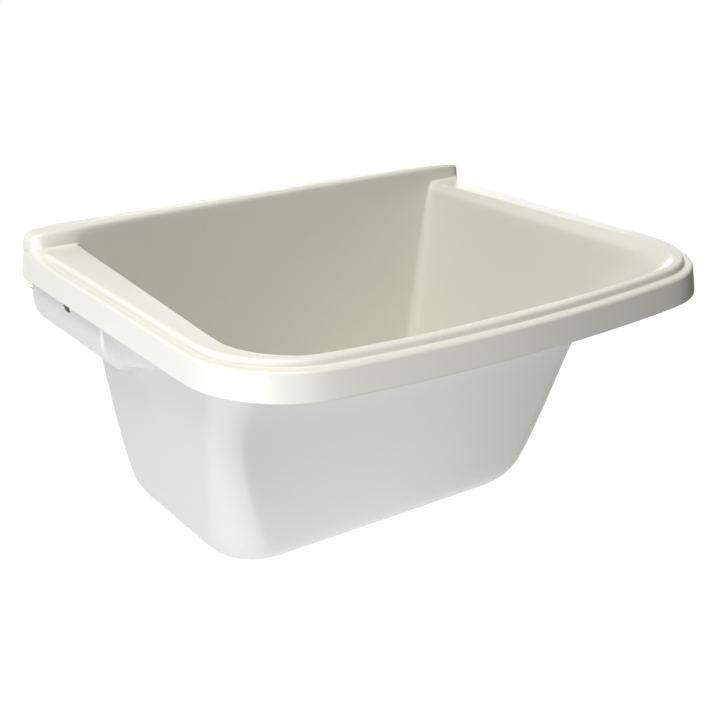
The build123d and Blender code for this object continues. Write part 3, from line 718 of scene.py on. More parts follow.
def waste_circle(radius, level, like):
    """Circle round the waste with its points at the bearings of another outline's points."""
    centre = np.array((0.0, -settings("waste").reach))
    away = like[:, :2] - centre
    bearing = np.arctan2(away[:, 1], away[:, 0])
    count = len(like)
    even = bearing[0] + np.unwrap(np.sign(bearing[1] - bearing[0]) * np.arange(count) * 2 * math.pi / count)
    blend = np.unwrap(bearing) * BEARING_SHARE + even * (1 - BEARING_SHARE)
    ring = centre + radius * np.column_stack([np.cos(blend), np.sin(blend)])
    return raised(ring, level)


# ---------------------------------------------------------------- the basin's cage

# Lines along the rim: inset and drop of the outer face, then of the inner face, in millimetres.
RIM_LINES = (
    ((0.0, 35.5), (4.0, 35.5)),
    ((0.0, 34.2), (4.0, 34.2)),
    ((0.0, 25.0), (4.0, 26.0)),
    ((0.0, 14.0), (4.0, 17.0)),
    ((0.0, 11.2), (4.0, 13.0)),
    ((0.0, 8.8), (4.0, 11.0)),
    ((1.9, 7.0), (6.0, 11.0)),
    ((4.4, 7.0), (9.0, 11.0)),
    ((6.8, 7.05), (12.5, 11.0)),
    ((8.0, 6.9), (12.5, 9.5)),
    ((8.3, 5.2), (12.5, 6.5)),
    ((8.6, 2.0), (12.5, 4.0)),
    ((10.1, 0.25), (14.0, 4.0)),
    ((12.8, 0.0), (16.0, 4.0)),
    ((16.5, 0.0), (19.0, 4.0)),
)
# The same lines beside the upstand, where the edge is a plain rounding without a bead.
PLAIN_LINES = (
    ((0.0, 35.5), (4.0, 35.5)),
    ((0.0, 34.2), (4.0, 34.2)),
    ((0.0, 26.0), (4.0, 27.0)),
    ((0.0, 17.0), (4.0, 19.0)),
    ((0.0, 12.0), (4.0, 14.5)),
    ((0.1, 8.2), (4.1, 11.0)),
    ((0.5, 5.0), (4.8, 8.0)),
    ((1.6, 2.3), (6.2, 5.6)),
    ((3.4, 0.7), (8.2, 4.5)),
    ((5.2, 0.1), (10.0, 4.1)),
    ((7.2, 0.0), (11.4, 4.0)),
    ((9.2, 0.0), (12.8, 4.0)),
    ((11.2, 0.0), (14.4, 4.0)),
    ((13.6, 0.0), (16.4, 4.0)),
    ((16.5, 0.0), (19.0, 4.0)),
)
TIP = 6  # the line at the foot of the upstand's ends
LEDGE_SHARES = (0.4, 0.8)  # lines between the bead and the mouth
FACE_SHARES = (0.15, 0.5, 0.87)  # rows up the upstand's front face
TOP_ROWS = (2.3, 8.0, 18.0)  # rows along the upstand's top behind its front edge, in millimetres
END_RISES = ((1.0, -1.6), (0.3, 0.9), (0.0, 3.4))  # first lines up the upstand's end: outwards, up
# Rows of the mouth band: shares of its flare and of its drop, and how far the face has turned upright.
MOUTH_ROWS = (
    (1.22, 0.0, 0.05), (1.06, 0.02, 0.35), (0.96, 0.13, 0.7), (0.55, 0.52, 0.78), (0.14, 0.92, 0.85),
    (0.0, 1.35, 0.99))
WALL_SHARES = (0.1, 0.22, 0.36, 0.52, 0.78, 1.0)  # rows down the bowl's wall
BOTTOM_TURNS = (18, 36, 54, 72)  # rows round the bottom rounding, in degrees
# Rows over the edge of the waste's recess: how far outside it, in millimetres, and the share of its depth.
RECESS_ROWS = ((0.8, 0.0), (0.0, 0.0), (0.0, 0.2), (0.0, 0.8), (0.0, 1.0), (-0.8, 1.0))
RECESS_MARGIN = 6.0 * MM  # the first circle stands this far outside the recess
HOLE_MARGIN = 0.6 * MM  # and the last but one this far outside the hole
HOLE_SHARE = 0.55  # place of the circle between recess and hole
BAND_DROP = 11.0 * MM  # underside of the rim's edge band below the ledge


def shaded(piece, sharp=None):
    """Smooth shading, with edges past an angle in degrees left sharp."""
    for face in piece.data.polygons:
        face.use_smooth = True
    if sharp:
        piece.data.set_sharp_from_angle(angle=math.radians(sharp))
    return piece


ON_AXIS = 1e-7  # a point nearer to the axis than this is on it


class Cage:
    """Vertices and faces of one mesh, gathered as grids of points."""

    def __init__(self):
        self.mesh = bmesh.new()

    def points(self, places):
        return [self.mesh.verts.new(p) for p in places]

    def strip(self, first, second, closed=False):
        """Quads between two runs of vertices of the same length."""
        count = len(first)
        for i in range(count if closed else count - 1):
            n = (i + 1) % count
            corners = [first[i], first[n], second[n], second[i]]
            kept = []
            for corner in corners:
                if corner not in kept:
                    kept.append(corner)
            if len(kept) > 2 and not self.mesh.faces.get(kept):
                self.mesh.faces.new(kept)

    def sheet(self, rows, closed=False):
        for first, second in zip(rows, rows[1:]):
            self.strip(first, second, closed)

    def lathe(self, outline, segments=72, closed=False):
        """An outline of (radius, height) turned about the vertical axis; closed ones become a ring."""
        rings = []
        for radius, height in outline:
            if radius < ON_AXIS:
                rings.append(self.points([(0, 0, height)]) * segments)
                continue
            turns = [2 * math.pi * i / segments for i in range(segments)]
            rings.append(self.points([(radius * math.cos(t), radius * math.sin(t), height) for t in turns]))
        self.sheet(rings + rings[:1] if closed else rings, closed=True)
        return self

    def block(self, low, high):
        """A box between two corners."""
        made = bmesh.ops.create_cube(self.mesh, size=1.0)["verts"]
        low, high = Vector(low), Vector(high)
        for corner in made:
            corner.co = (low + high) / 2 + Vector(corner.co) * (high - low)
        return self

    def finish(self, name, sharp=None):
        """The cage as an object, faces outwards and smooth, with edges past an angle left sharp."""
        bmesh.ops.recalc_face_normals(self.mesh, faces=self.mesh.faces[:])
        data = bpy.data.meshes.new(name)
        self.mesh.to_mesh(data)
        self.mesh.free()
        made = bpy.data.objects.new(name, data)
        bpy.context.scene.collection.objects.link(made)
        return shaded(made, sharp)


def end_corner(inner, foot=False):
    """At the upstand's end: the wall taken off, where the front corner starts, and its radius."""
    rim, up = settings("rim"), settings("upstand")
    thick = rim.wall if inner else 0.0
    radius = (up.foot_corner if foot else up.corner) - thick
    return thick, rim.width / 2 - up.inset - thick - radius, radius


def upstand_profile(inner):
    """Outline of the upstand's end and top at the wall, from above its foot to the top's end."""
    rim, up = settings("rim"), settings("upstand")
    thick = rim.wall if inner else 0.0
    half = rim.width / 2 - up.inset - thick
    radius = up.end_round - thick
    centre = (half - radius, top_level(half - radius, inner) - radius)
    points = [(half + out * MM, rim.ledge - thick + rise * MM) for out, rise in END_RISES]
    return points + turned(centre, radius, 0.0, math.pi / 2, steps=4)[1:]


def top_level(x, inner):
    """Height of the upstand's crowned top."""
    rim, up = settings("rim"), settings("upstand")
    fall = up.crown * (2 * x / rim.width) ** up.crown_power
    return rim.ledge + up.rise - fall - (rim.wall if inner else 0.0)


def upstand_face(x, inner, foot=False):
    """Where the upstand's front face stands at that distance from the middle, corners included."""
    thick, start, radius = end_corner(inner, foot)
    along = min(max((x - start) / radius, 0.0), 1.0)
    return -(settings("upstand").thickness - thick - radius) - radius * math.sqrt(1 - along * along)


def corner_run(x, inner):
    """Distance along the upstand's front face from the end of its corner."""
    _, start, radius = end_corner(inner)
    if x <= start:
        return radius * math.pi / 2 + start - x
    return radius * (math.pi / 2 - math.asin(min(1.0, (x - start) / radius)))


def at_run(run, inner):
    """The point of the front face at that distance along it."""
    thick, start, radius = end_corner(inner)
    arc = radius * math.pi / 2
    front = -(settings("upstand").thickness - thick)
    if run >= arc:
        return start + arc - run, front
    angle = run / radius
    return start + radius * math.cos(angle), front + radius - radius * math.sin(angle)


def top_rows(x, edge_y, z):
    """Points back along the upstand's top, from its front edge to the wall."""
    thickness = settings("upstand").thickness
    return [(x, edge_y * (1 - back * MM / thickness), z) for back in TOP_ROWS] + [(x, 0.0, z)]


def heel_lift(y):
    """How far the skirt's bottom edge has risen where it turns up at the wall."""
    heel = settings("rim").heel
    near = max(0.0, y + heel)
    return heel - math.sqrt(heel * heel - near * near)


def leaning(line):
    """Inset and drop of a rim line in metres, its inset grown with the skirt's lean."""
    rim = settings("rim")
    inset, drop = line[0] * MM, line[1] * MM
    return np.array((inset + rim.lean * (1 - drop / rim.skirt), drop))


def rim_plans(inner, mouth_run):
    """Lines of one skin from the skirt's lip over the bead and the ledge to the mouth."""
    half_width = settings("rim").width / 2
    plans = []
    for number, (full, plain) in enumerate(zip(RIM_LINES, PLAIN_LINES)):
        climbing = leaning(PLAIN_LINES[max(number, TIP + 1)][inner])
        stop_y = upstand_face(half_width - climbing[0], inner, foot=True)
        plans.append(rim_line(leaning(full[inner]), leaning(plain[inner]), stop_y))
    ledge = plans[-1]
    return plans + [ledge * (1 - share) + mouth_run * share for share in LEDGE_SHARES] + [mouth_run]


def upstand_paths(inner, plans):
    """For each of those lines, its points up the upstand's right end and back along its top."""
    rim, up = settings("rim"), settings("upstand")
    tip_y = upstand_face(rim.width / 2 - up.inset - (rim.wall if inner else 0.0), inner)
    profile = upstand_profile(inner)
    start_x, end_x = profile[-1][0], plans[-1][0][0]
    flats = len(plans) - 1 - TIP - len(profile)
    for i in range(1, flats + 1):
        x = start_x + (end_x - start_x) * i / flats
        profile.append((x, top_level(x, inner)))
    paths = []
    for number, plan in enumerate(plans):
        foot = plan[0]
        if number <= TIP:
            rise = [(foot[0], foot[1] + (tip_y - foot[1]) * share, foot[2]) for share in FACE_SHARES]
            paths.append(rise + top_rows(foot[0], tip_y, foot[2]))
            continue
        top_x, top_z = profile[number - TIP - 1]
        from_run, to_run = corner_run(foot[0], inner), corner_run(top_x, inner)
        rise = [(*at_run(from_run + (to_run - from_run) * share, inner), foot[2] + (top_z - foot[2]) * share)
                for share in FACE_SHARES]
        paths.append(rise + top_rows(top_x, upstand_face(top_x, inner), top_z))
    return paths


def lifted(point):
    """A skirt point moved up where the heel turns."""
    rim = settings("rim")
    top = rim.ledge - BAND_DROP
    bottom = rim.ledge - rim.skirt
    if point[2] >= top:
        return tuple(point)
    rise = heel_lift(point[1])
    level = bottom + rise + (point[2] - bottom) * (top - bottom - rise) / (top - bottom)
    return (point[0], point[1], level)


def mirrored(point):
    return (-point[0], point[1], point[2])


def lay_skin(cage, inner):
    """Adds one side of the moulding over rim, ledge and upstand.

    Returns its lip, its two feet at the wall, its edge along the wall, and its mouth loop.
    """
    mouth = mouth_line(0, inner)
    around = 2 * (REAR_STEPS + SIDE_STEPS + CORNER_STEPS + FRONT_STEPS + 2) - 1
    plans = rim_plans(inner, mouth[:around])
    paths = upstand_paths(inner, plans)
    runs = []
    for plan, path in zip(plans, paths):
        right = [lifted(p) for p in reversed(path)]
        left = [mirrored(p) for p in reversed(right)]
        runs.append(cage.points(right + [lifted(p) for p in plan] + left))
    cage.sheet(runs)
    # the upstand between the two mouth lines
    depth = len(paths[0])
    inmost = runs[-1]
    columns = [inmost[len(inmost) - depth - 1:]]
    for x, face_y, foot_z in mouth[around:]:
        top_z = top_level(abs(x), inner)
        rise = [(x, face_y, foot_z + (top_z - foot_z) * share) for share in (0.0,) + FACE_SHARES]
        columns.append(cage.points(rise + top_rows(x, face_y, top_z)))
    columns.append(inmost[depth::-1])
    cage.sheet(columns)
    mouth_loop = inmost[depth: len(inmost) - depth] + [column[0] for column in columns[1:-1]]
    feet = ([run[-1] for run in runs], [run[0] for run in runs])
    return runs[0], feet, [column[-1] for column in columns], mouth_loop


def bowl_loops(cage, inner, first):
    """Loops of one side of the moulding from its mouth loop down to the waste hole."""
    rim, bowl, waste = settings("rim"), settings("bowl"), settings("waste")
    thick = 0.0 if inner else rim.wall
    loops = [first] + [cage.points(mouth_line(row, inner)) for row in range(1, len(MOUTH_ROWS))]
    top = MOUTH_ROWS[-1][1] * bowl.mouth_drop
    radius = bowl.bottom_round - thick
    wall_depth = bowl.depth - thick - radius
    for share in WALL_SHARES:
        loops.append(cage.points(bowl_line(top + (wall_depth - top) * share, thick)))
    for turn in BOTTOM_TURNS:
        angle = math.radians(turn)
        depth = wall_depth + radius * math.sin(angle)
        loops.append(cage.points(bowl_line(depth, thick, radius * (1 - math.cos(angle)))))
    flat = bowl_line(bowl.depth - thick, thick, radius * bowl.floor_flat)
    level = rim.ledge - bowl.depth + thick
    seat = waste.boss if inner else waste.recess
    circle = waste_circle(seat + RECESS_MARGIN, level, flat)
    loops += [cage.points(flat), cage.points((flat + circle) / 2), cage.points(circle)]
    for grow, share in RECESS_ROWS:
        loops.append(cage.points(waste_circle(seat + grow * MM, level - waste.recess_depth * share, flat)))
    between = seat * (1 - HOLE_SHARE) + waste.hole * HOLE_SHARE
    for radius in (between, waste.hole + HOLE_MARGIN, waste.hole):
        loops.append(cage.points(waste_circle(radius, level - waste.recess_depth, flat)))
    return loops


def basin_cage():
    """The whole moulding, both faces, from the skirt's lip to the waste hole."""
    cage = Cage()
    skins = [lay_skin(cage, inner) for inner in (0, 1)]
    (lip, feet, edge, _), (inner_lip, inner_feet, inner_edge, _) = skins
    for outside, inside in ((lip, inner_lip), *zip(feet, inner_feet), (edge, inner_edge)):
        cage.strip(outside, inside)
    hole_edges = []
    for inner in (0, 1):
        loops = bowl_loops(cage, inner, skins[inner][-1])
        cage.sheet(loops, closed=True)
        hole_edges.append(loops[-1])
    cage.strip(*hole_edges, closed=True)
    return cage


def rounded(piece, levels=2):
    """Subdivision surface, baked."""
    modifier = piece.modifiers.new("rounding", "SUBSURF")
    modifier.levels = levels
    modifier.render_levels = levels
    modifier.boundary_smooth = "PRESERVE_CORNERS"
    return baked(piece)


def baked(piece):
    """The piece's evaluated mesh as its own plain mesh, with no modifiers left."""
    bpy.context.view_layer.update()
    graph = bpy.context.evaluated_depsgraph_get()
    data = bpy.data.meshes.new_from_object(piece.evaluated_get(graph))
    piece.modifiers.clear()
    spare = piece.data
    piece.data = data
    bpy.data.meshes.remove(spare)
    return piece


def dressed(piece, material, body, *nodes, slot=None):
    """Gives a finished piece its material and its body, and hides the nodes it stands for."""
    piece.data.materials.clear()
    piece.data.materials.append(material)
    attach(piece, body)
    if nodes:
        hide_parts(*nodes)
    return piece


def eased(outline, radius, closed=False, steps=4):
    """An outline with its corners rounded off; an open one keeps its ends."""
    points = [Vector(p) for p in outline]
    count = len(points)
    result = []
    for i, here in enumerate(points):
        if not closed and i in (0, count - 1):
            result.append(tuple(here))
            continue
        back, on = points[i - 1] - here, points[(i + 1) % count] - here
        cut = min(radius, back.length * 0.45, on.length * 0.45)
        first, last = here + back.normalized() * cut, here + on.normalized() * cut
        for step in range(steps + 1):
            t = step / steps
            result.append(tuple(first * (1 - t) ** 2 + here * (2 * t * (1 - t)) + last * t**2))
    return result


def moved(piece, x=0.0, y=0.0, z=0.0, turn=None):
    """Turns a piece's mesh about the origin, then moves it; the object stays where it is."""
    if turn:
        piece.data.transform(Matrix.Rotation(math.radians(turn[0]), 4, turn[1]))
    piece.data.transform(Matrix.Translation((x, y, z)))
    return piece


def joined(name, *pieces):
    """Several pieces as one, its shells kept apart."""
    mesh = bmesh.new()
    for piece in pieces:
        mesh.from_mesh(piece.data)
        spare = piece.data
        bpy.data.objects.remove(piece)
        bpy.data.meshes.remove(spare)
    data = bpy.data.meshes.new(name)
    mesh.to_mesh(data)
    mesh.free()
    made = bpy.data.objects.new(name, data)
    bpy.context.scene.collection.objects.link(made)
    return made


def cut(piece, *cutters):
    """Cuts closed pieces out of another and removes them."""
    for cutter in cutters:
        modifier = piece.modifiers.new("cut", "BOOLEAN")
        modifier.operation = "DIFFERENCE"
        modifier.solver = "EXACT"
        modifier.object = cutter
        baked(piece)
        spare = cutter.data
        bpy.data.objects.remove(cutter)
        bpy.data.meshes.remove(spare)
    return piece


def spun(name, outline, radius, segments=96, closed=False, sharp=None):
    """An outline with its corners rounded, turned about the vertical axis; a closed one makes a ring."""
    return Cage().lathe(eased(outline, radius, closed), segments, closed).finish(name, sharp)


def drum(name, radius, low, high, segments=48):
    """A plain closed cylinder on the vertical axis."""
    outline = [(0, low), (radius, low), (radius, high), (0, high)]
    return Cage().lathe(outline, segments).finish(name)


# ---------------------------------------------------------------- cheeks, ribs and bosses

CHEEK_STEPS = 8  # steps along the cheek, round its nose and round its belly
FLOOR_STEPS = 4  # steps from the belly to the bowl
SIDE_ROWS = 5  # rows down its side
FRONT_ROWS = 3  # rows from the nose on to the bowl
CHEEK_TOP = 9.0 * MM  # the cheek's top edge below the ledge
TUCK = 3.0 * MM  # its last row starts this far below the mouth band
NOSE_SHARE = 0.4  # how much of the nose's run the belly's radius loses
LEAST_BELLY = 2.0 * MM


def wall_middle(y, depth):
    """Where the middle of the bowl's right wall stands at one distance from the wall and one depth."""
    line = bowl_line(max(depth, settings("bowl").mouth_drop), settings("rim").wall / 2)
    side = line[REAR_STEPS: REAR_STEPS + SIDE_STEPS + 2]
    return float(np.interp(-y, -side[:, 1], side[:, 0]))


def cheek_rows(inset):
    """Grid of one face of the right cheek: side, belly and floor, from the wall round its nose."""
    cheek, rim = settings("cheek"), settings("rim")
    side = rim.width / 2 - cheek.inset - inset
    bottom = rim.ledge - cheek.drop + inset
    nose_y = -cheek.reach + cheek.nose
    radius = cheek.nose - inset
    quarter = [math.radians(90) * step / CHEEK_STEPS for step in range(CHEEK_STEPS + 1)]
    stations = [(-cheek.back + (nose_y + cheek.back) * i / CHEEK_STEPS, 0.0) for i in range(CHEEK_STEPS + 1)]
    stations += [(nose_y - radius * math.sin(turn), radius * (1 - math.cos(turn))) for turn in quarter[1:]]
    top = rim.ledge - CHEEK_TOP
    rows = []
    for y, back in stations:
        belly = max(cheek.belly - inset - back * NOSE_SHARE, LEAST_BELLY)
        x, z = side - back - belly, bottom + back + belly
        inner = wall_middle(y, rim.ledge - bottom - back)
        row = [(side - back, y, top + (z - top) * i / SIDE_ROWS) for i in range(SIDE_ROWS)]
        row += [(x + belly * math.cos(turn), y, z - belly * math.sin(turn)) for turn in quarter]
        row += [(x + (inner - x) * i / FLOOR_STEPS, y, bottom + back) for i in range(1, FLOOR_STEPS + 1)]
        rows.append(row)
    front = rows[-1]
    for i in range(1, FRONT_ROWS + 1):
        row = []
        for x, y, z in front:
            ahead = y - cheek.taper * i / FRONT_ROWS
            row.append((x + (wall_middle(ahead, rim.ledge - z) - x) * i / FRONT_ROWS, ahead, z))
        under = rim.wall / 2 if i < FRONT_ROWS else settings("bowl").mouth_drop + TUCK
        row[0] = (row[0][0], row[0][1], rim.ledge - under)
        rows.append(row)
    return rows


def cheek_shell():
    """Right cheek as a closed shell, open towards the wall, with its round port cut."""
    cheek, rim = settings("cheek"), settings("rim")
    cage = Cage()
    outer, inner = ([cage.points(row) for row in cheek_rows(inset)] for inset in (0.0, rim.wall))
    cage.sheet(outer)
    cage.sheet(inner)
    for end in (0, -1):
        cage.strip(outer[end], inner[end])
        cage.strip([row[end] for row in outer], [row[end] for row in inner])
    shell = cage.finish("cheek")
    port = drum("port", cheek.port_radius, low=-9 * MM, high=3 * MM)
    x = rim.width / 2 - cheek.inset
    moved(port, x, -cheek.port_reach, rim.ledge - cheek.port_drop, turn=(90, "Y"))
    return cut(shell, port)


def cheek_root():
    """Web that joins the right cheek to the inside of the skirt."""
    cheek, rim = settings("cheek"), settings("rim")
    inner, outer = rim.width / 2 - cheek.inset - rim.wall / 2, rim.width / 2 - rim.wall / 2 - rim.lean
    low = (inner, -cheek.reach + cheek.nose, rim.ledge - rim.skirt + 0.3 * MM)
    high = (outer, -rim.heel, rim.ledge - BAND_DROP)
    root = Cage().block(low, high).finish("root")
    for corner in root.data.vertices:
        if corner.co.x > (inner + outer) / 2 and corner.co.z < high[2] - MM:
            corner.co.x += rim.lean
    return root


class SINK_OT_basin(bpy.types.Operator):
    """Mould the basin: rim, ledge, upstand and bowl in one skin, with its cheeks, ribs and bosses"""

    bl_idname = "sink.basin"
    bl_label = "Basin"

    def execute(self, context):
        plastic = plastic_finish()
        tub = rounded(basin_cage().finish("basin_moulding"))
        dressed(tub, plastic, "sink", "basin", slot="basin_plastic")
        cheeks = joined("cheeks", cheek_shell(), cheek_root())
        cheeks.modifiers.new("mirror", "MIRROR").use_axis = (True, False, False)
        dressed(shaded(baked(cheeks), sharp=32), plastic, "sink", "basin", slot="basin_plastic")
        supports = joined("supports", self.ribs(plastic), self.bosses(plastic))
        dressed(shaded(supports, sharp=40), plastic, "sink", "basin", slot="basin_plastic")
        return {"FINISHED"}

    def ribs(self, plastic):
        rim, sizes = settings("rim"), settings("fixings")
        half = (sizes.rib_outer - sizes.rib_inner) / 2
        low, high = rim.ledge - sizes.bracket_drop, rim.ledge - rim.wall + 0.5 * MM
        rib = Cage().block((-half, -sizes.rib / 2, low), (half, sizes.rib / 2, high)).finish("ribs")
        middle = (sizes.rib_outer + sizes.rib_inner) / 2
        step = (0.0, sizes.rib_first - sizes.rib_last, 0.0)
        return on_both_sides(rib, plastic, middle, -sizes.rib_first, rows=2, step=step)

    def bosses(self, plastic):
        rim, sizes = settings("rim"), settings("fixings")
        low = rim.ledge - sizes.bracket_drop
        pilot = sizes.basin_screw
        outline = [(0, rim.ledge - rim.wall / 2), (sizes.boss, rim.ledge - rim.wall / 2), (sizes.boss, low),
                   (pilot, low), (pilot, low + sizes.bite), (0, low + sizes.bite)]
        boss = spun("bosses", outline, radius=0.5 * MM, segments=40)
        return on_both_sides(boss, plastic, sizes.spacing_x / 2, -sizes.boss_reach)


# ---------------------------------------------------------------- waste, plug and ring

def waste_levels():
    """Heights of the waste's stack, from the floor down."""
    rim, bowl, waste, plug = settings("rim"), settings("bowl"), settings("waste"), settings("plug")
    recess = rim.ledge - bowl.depth + rim.wall - waste.recess_depth
    plate = recess + waste.seal
    boss = recess - rim.wall
    grid = plate - waste.dish_depth
    neck = grid - waste.spider
    seat = plate + waste.plate
    return {"recess": recess, "plate": plate, "boss": boss, "grid": grid, "neck": neck,
            "tail_top": neck - waste.shoulder, "body": boss - waste.body_seal, "seat": seat,
            "plug_top": seat + plug.height, "eye": seat + plug.height + plug.eye_height}


def at_waste(piece):
    """Moves a piece turned about the origin to the centre line of the waste."""
    return moved(piece, y=-settings("waste").reach)


class SINK_OT_waste(bpy.types.Operator):
    """Fit the dished strainer plate, the seals, the waste body with its threaded tail, and the screw"""

    bl_idname = "sink.waste"
    bl_label = "Waste"

    def execute(self, context):
        finishes, level = settings("finishes"), waste_levels()
        steel = steel_finish("strainer_steel", finishes.steel, roughness=0.24, stretch=(1.0, 0.05, 1.0))
        rubber = rubber_finish("seal_rubber")
        white = moulded_finish("waste_plastic", finishes.waste, roughness=0.36)
        waste = settings("waste")
        self.plate(waste, level, steel)
        self.seal("flange_seal", waste, level["recess"], waste.seal, waste.plate_radius, rubber)
        self.seal("body_seal", waste, level["body"], waste.body_seal, waste.body_rim, rubber)
        self.body(waste, level, white)
        self.screw(waste, level, steel)
        return {"FINISHED"}

    def plate(self, waste, level, steel):
        """Pressed dish: the two faces of the sheet follow each other round soft bends."""
        thick = waste.plate
        top, low = level["seat"], level["grid"]
        hole = waste.screw + 0.5 * MM
        taper = (waste.dish - waste.dish_floor) / waste.dish_depth
        inner_floor = waste.dish_floor - thick + taper * thick
        edge, floor = waste.plate_radius, low + thick
        upper = [(edge, top), (waste.dish - thick, top), (inner_floor, floor), (hole, floor)]
        lower = [(hole, low), (waste.dish_floor, low), (waste.dish, top - thick), (edge, top - thick)]
        outline = eased(upper, radius=1.2 * MM) + eased(lower, radius=1.6 * MM)
        piece = Cage().lathe(outline, segments=96, closed=True).finish("waste_flange")
        rings = ((waste.inner_count, waste.inner_ring, waste.inner_hole),
                 (waste.outer_count, waste.outer_ring, waste.outer_hole))
        for count, radius, hole in rings:
            values = {"Count": count, "Circle radius": radius, "Hole radius": hole,
                      "Centre": (0, 0, low + thick / 2), "Depth": 4 * thick}
            holes_pattern().run(piece, steel, values)
        dressed(shaded(at_waste(piece), sharp=35), steel, "sink", "waste_flange", slot="strainer_steel")

    def seal(self, name, waste, low, height, radius, rubber):
        """Flat rubber ring with its edges squeezed round."""
        outer, high = radius - waste.setback, low + height
        outline = [(waste.hole, low), (outer, low), (outer, high), (waste.hole, high)]
        piece = spun(name, outline, radius=height * 0.4, closed=True, sharp=50)
        dressed(at_waste(piece), rubber, "sink", name, slot="seal_rubber")

    def body(self, waste, level, white):
        """Flanged cup, cone and tail, with a hub on three arms for the screw, and a thread on the tail."""
        bore = waste.tail - waste.body_wall
        cup = waste.dish + waste.dish_play
        neck = cup + waste.body_wall
        core = waste.tail - waste.crest
        end = level["tail_top"] - waste.tail_length
        under_rim = level["body"] - waste.body_rim_height
        outline = [(bore, end), (core, end), (core, level["tail_top"]), (neck, level["neck"]),
                   (neck, under_rim), (waste.body_rim, under_rim), (waste.body_rim, level["body"]),
                   (cup, level["body"]), (cup, level["grid"]), (bore, level["grid"])]
        shell = spun("waste_body", outline, radius=0.8 * MM, closed=True)
        turns = (waste.tail_length - 2.2 * waste.crest) / waste.pitch
        values = {"Radius": waste.tail, "Crest": waste.crest, "Pitch": waste.pitch, "Turns": turns,
                  "Start": (0, 0, end + 1.1 * waste.crest)}
        thread_pattern().run(shell, white, values)
        low, high = level["neck"], level["grid"]
        ring = [(waste.screw, low), (waste.hub, low), (waste.hub, high), (waste.screw, high)]
        hub = spun("hub", ring, radius=0.6 * MM, segments=48, closed=True)
        half, play, bite = waste.arm / 2, 0.2 * MM, 1.0 * MM
        arm = Cage().block((waste.hub - bite, -half, low + play), (bore + bite, half, high - play))
        arms = spokes_pattern().run(arm.finish("arms"), white, {"Count": 3})
        piece = joined("waste_body", shell, hub, arms)
        dressed(shaded(at_waste(piece), sharp=40), white, "sink", "waste_body", slot="waste_plastic")

    def screw(self, waste, level, steel):
        """Slotted cheese-head screw from the dish into the hub."""
        seat = level["grid"] + waste.plate
        top, end = seat + waste.screw_height, level["neck"]
        outline = [(0, top), (waste.screw_head, top), (waste.screw_head, seat), (waste.screw, seat),
                   (waste.screw, end), (0, end)]
        piece = spun("waste_screw", outline, radius=0.8 * MM, segments=64)
        half = waste.screw_slot / 2
        slot = Cage().block((-0.01, -half, top - waste.screw_slot), (0.01, half, top + MM)).finish("slot")
        cut(piece, slot)
        dressed(shaded(at_waste(piece), sharp=35), steel, "sink", "waste_screw", slot="strainer_steel")


class SINK_OT_plug(bpy.types.Operator):
    """Set the rubber plug in the dish, with its lug and the ring that turns in it"""

    bl_idname = "sink.plug"
    bl_label = "Plug and ring"

    def execute(self, context):
        waste, plug, level = settings("waste"), settings("plug"), waste_levels()
        rubber = rubber_finish("plug_rubber")
        taper = (waste.dish - waste.dish_floor) / waste.dish_depth
        bottom = level["grid"] + waste.plate + waste.screw_height + plug.clear
        top_radius = waste.dish - waste.plate - plug.play
        low_radius = top_radius - taper * (level["seat"] - bottom)
        outline = [(0, bottom), (low_radius, bottom), (top_radius, level["seat"]), (plug.head, level["seat"]),
                   (plug.head, level["plug_top"]), (0, level["plug_top"])]
        body = spun("plug_body", outline, radius=1.7 * MM)
        piece = joined("plug", body, self.lug(plug, level))
        dressed(shaded(at_waste(piece), sharp=45), rubber, "stopper", "plug", slot="plug_rubber")
        self.ring(plug, level)
        return {"FINISHED"}

    def lug(self, plug, level):
        """Upright ear with a round top and a through eye, its edges softened."""
        play = 0.35 * MM
        sag = plug.ring - math.sqrt(plug.ring**2 - (plug.lug_width / 2) ** 2)
        foot = level["plug_top"] - plug.height / 3
        rounding = [(plug.lug * math.cos(a), level["eye"] + plug.lug * math.sin(a))
                    for a in (math.pi * i / 20 for i in range(21))]
        outline = [(plug.lug, foot)] + rounding + [(-plug.lug, foot)]
        cage = Cage()
        half = plug.lug_width / 2
        faces = []
        soft = 0.5 * MM
        for x, inset in ((-half, soft), (-half + soft, 0.0), (half - soft, 0.0), (half, soft)):
            share = 1 - inset / plug.lug
            places = [(x, y * share, level["eye"] + (z - level["eye"]) * share) for y, z in outline]
            faces.append(cage.points(places))
        cage.sheet(faces, closed=True)
        for face in (faces[0], faces[-1]):
            cage.mesh.faces.new(face)
        ear = cage.finish("lug")
        eye = drum("eye", plug.wire + sag + play, low=-0.01, high=0.01, segments=32)
        return cut(ear, moved(eye, z=level["eye"], turn=(90, "Y")))

    def ring(self, plug, level):
        """Round wire ring, lying towards the wall."""
        wire = [(plug.ring + plug.wire * math.cos(a), plug.wire * math.sin(a))
                for a in (2 * math.pi * i / 28 for i in range(28))]
        piece = Cage().lathe(wire, segments=96, closed=True).finish("plug_ring")
        at_waste(moved(piece, y=plug.ring, z=level["eye"]))
        dressed(piece, chrome_finish(), "pull_ring", "plug_ring", slot="ring_chrome")


# ---------------------------------------------------------------- brackets and fixings

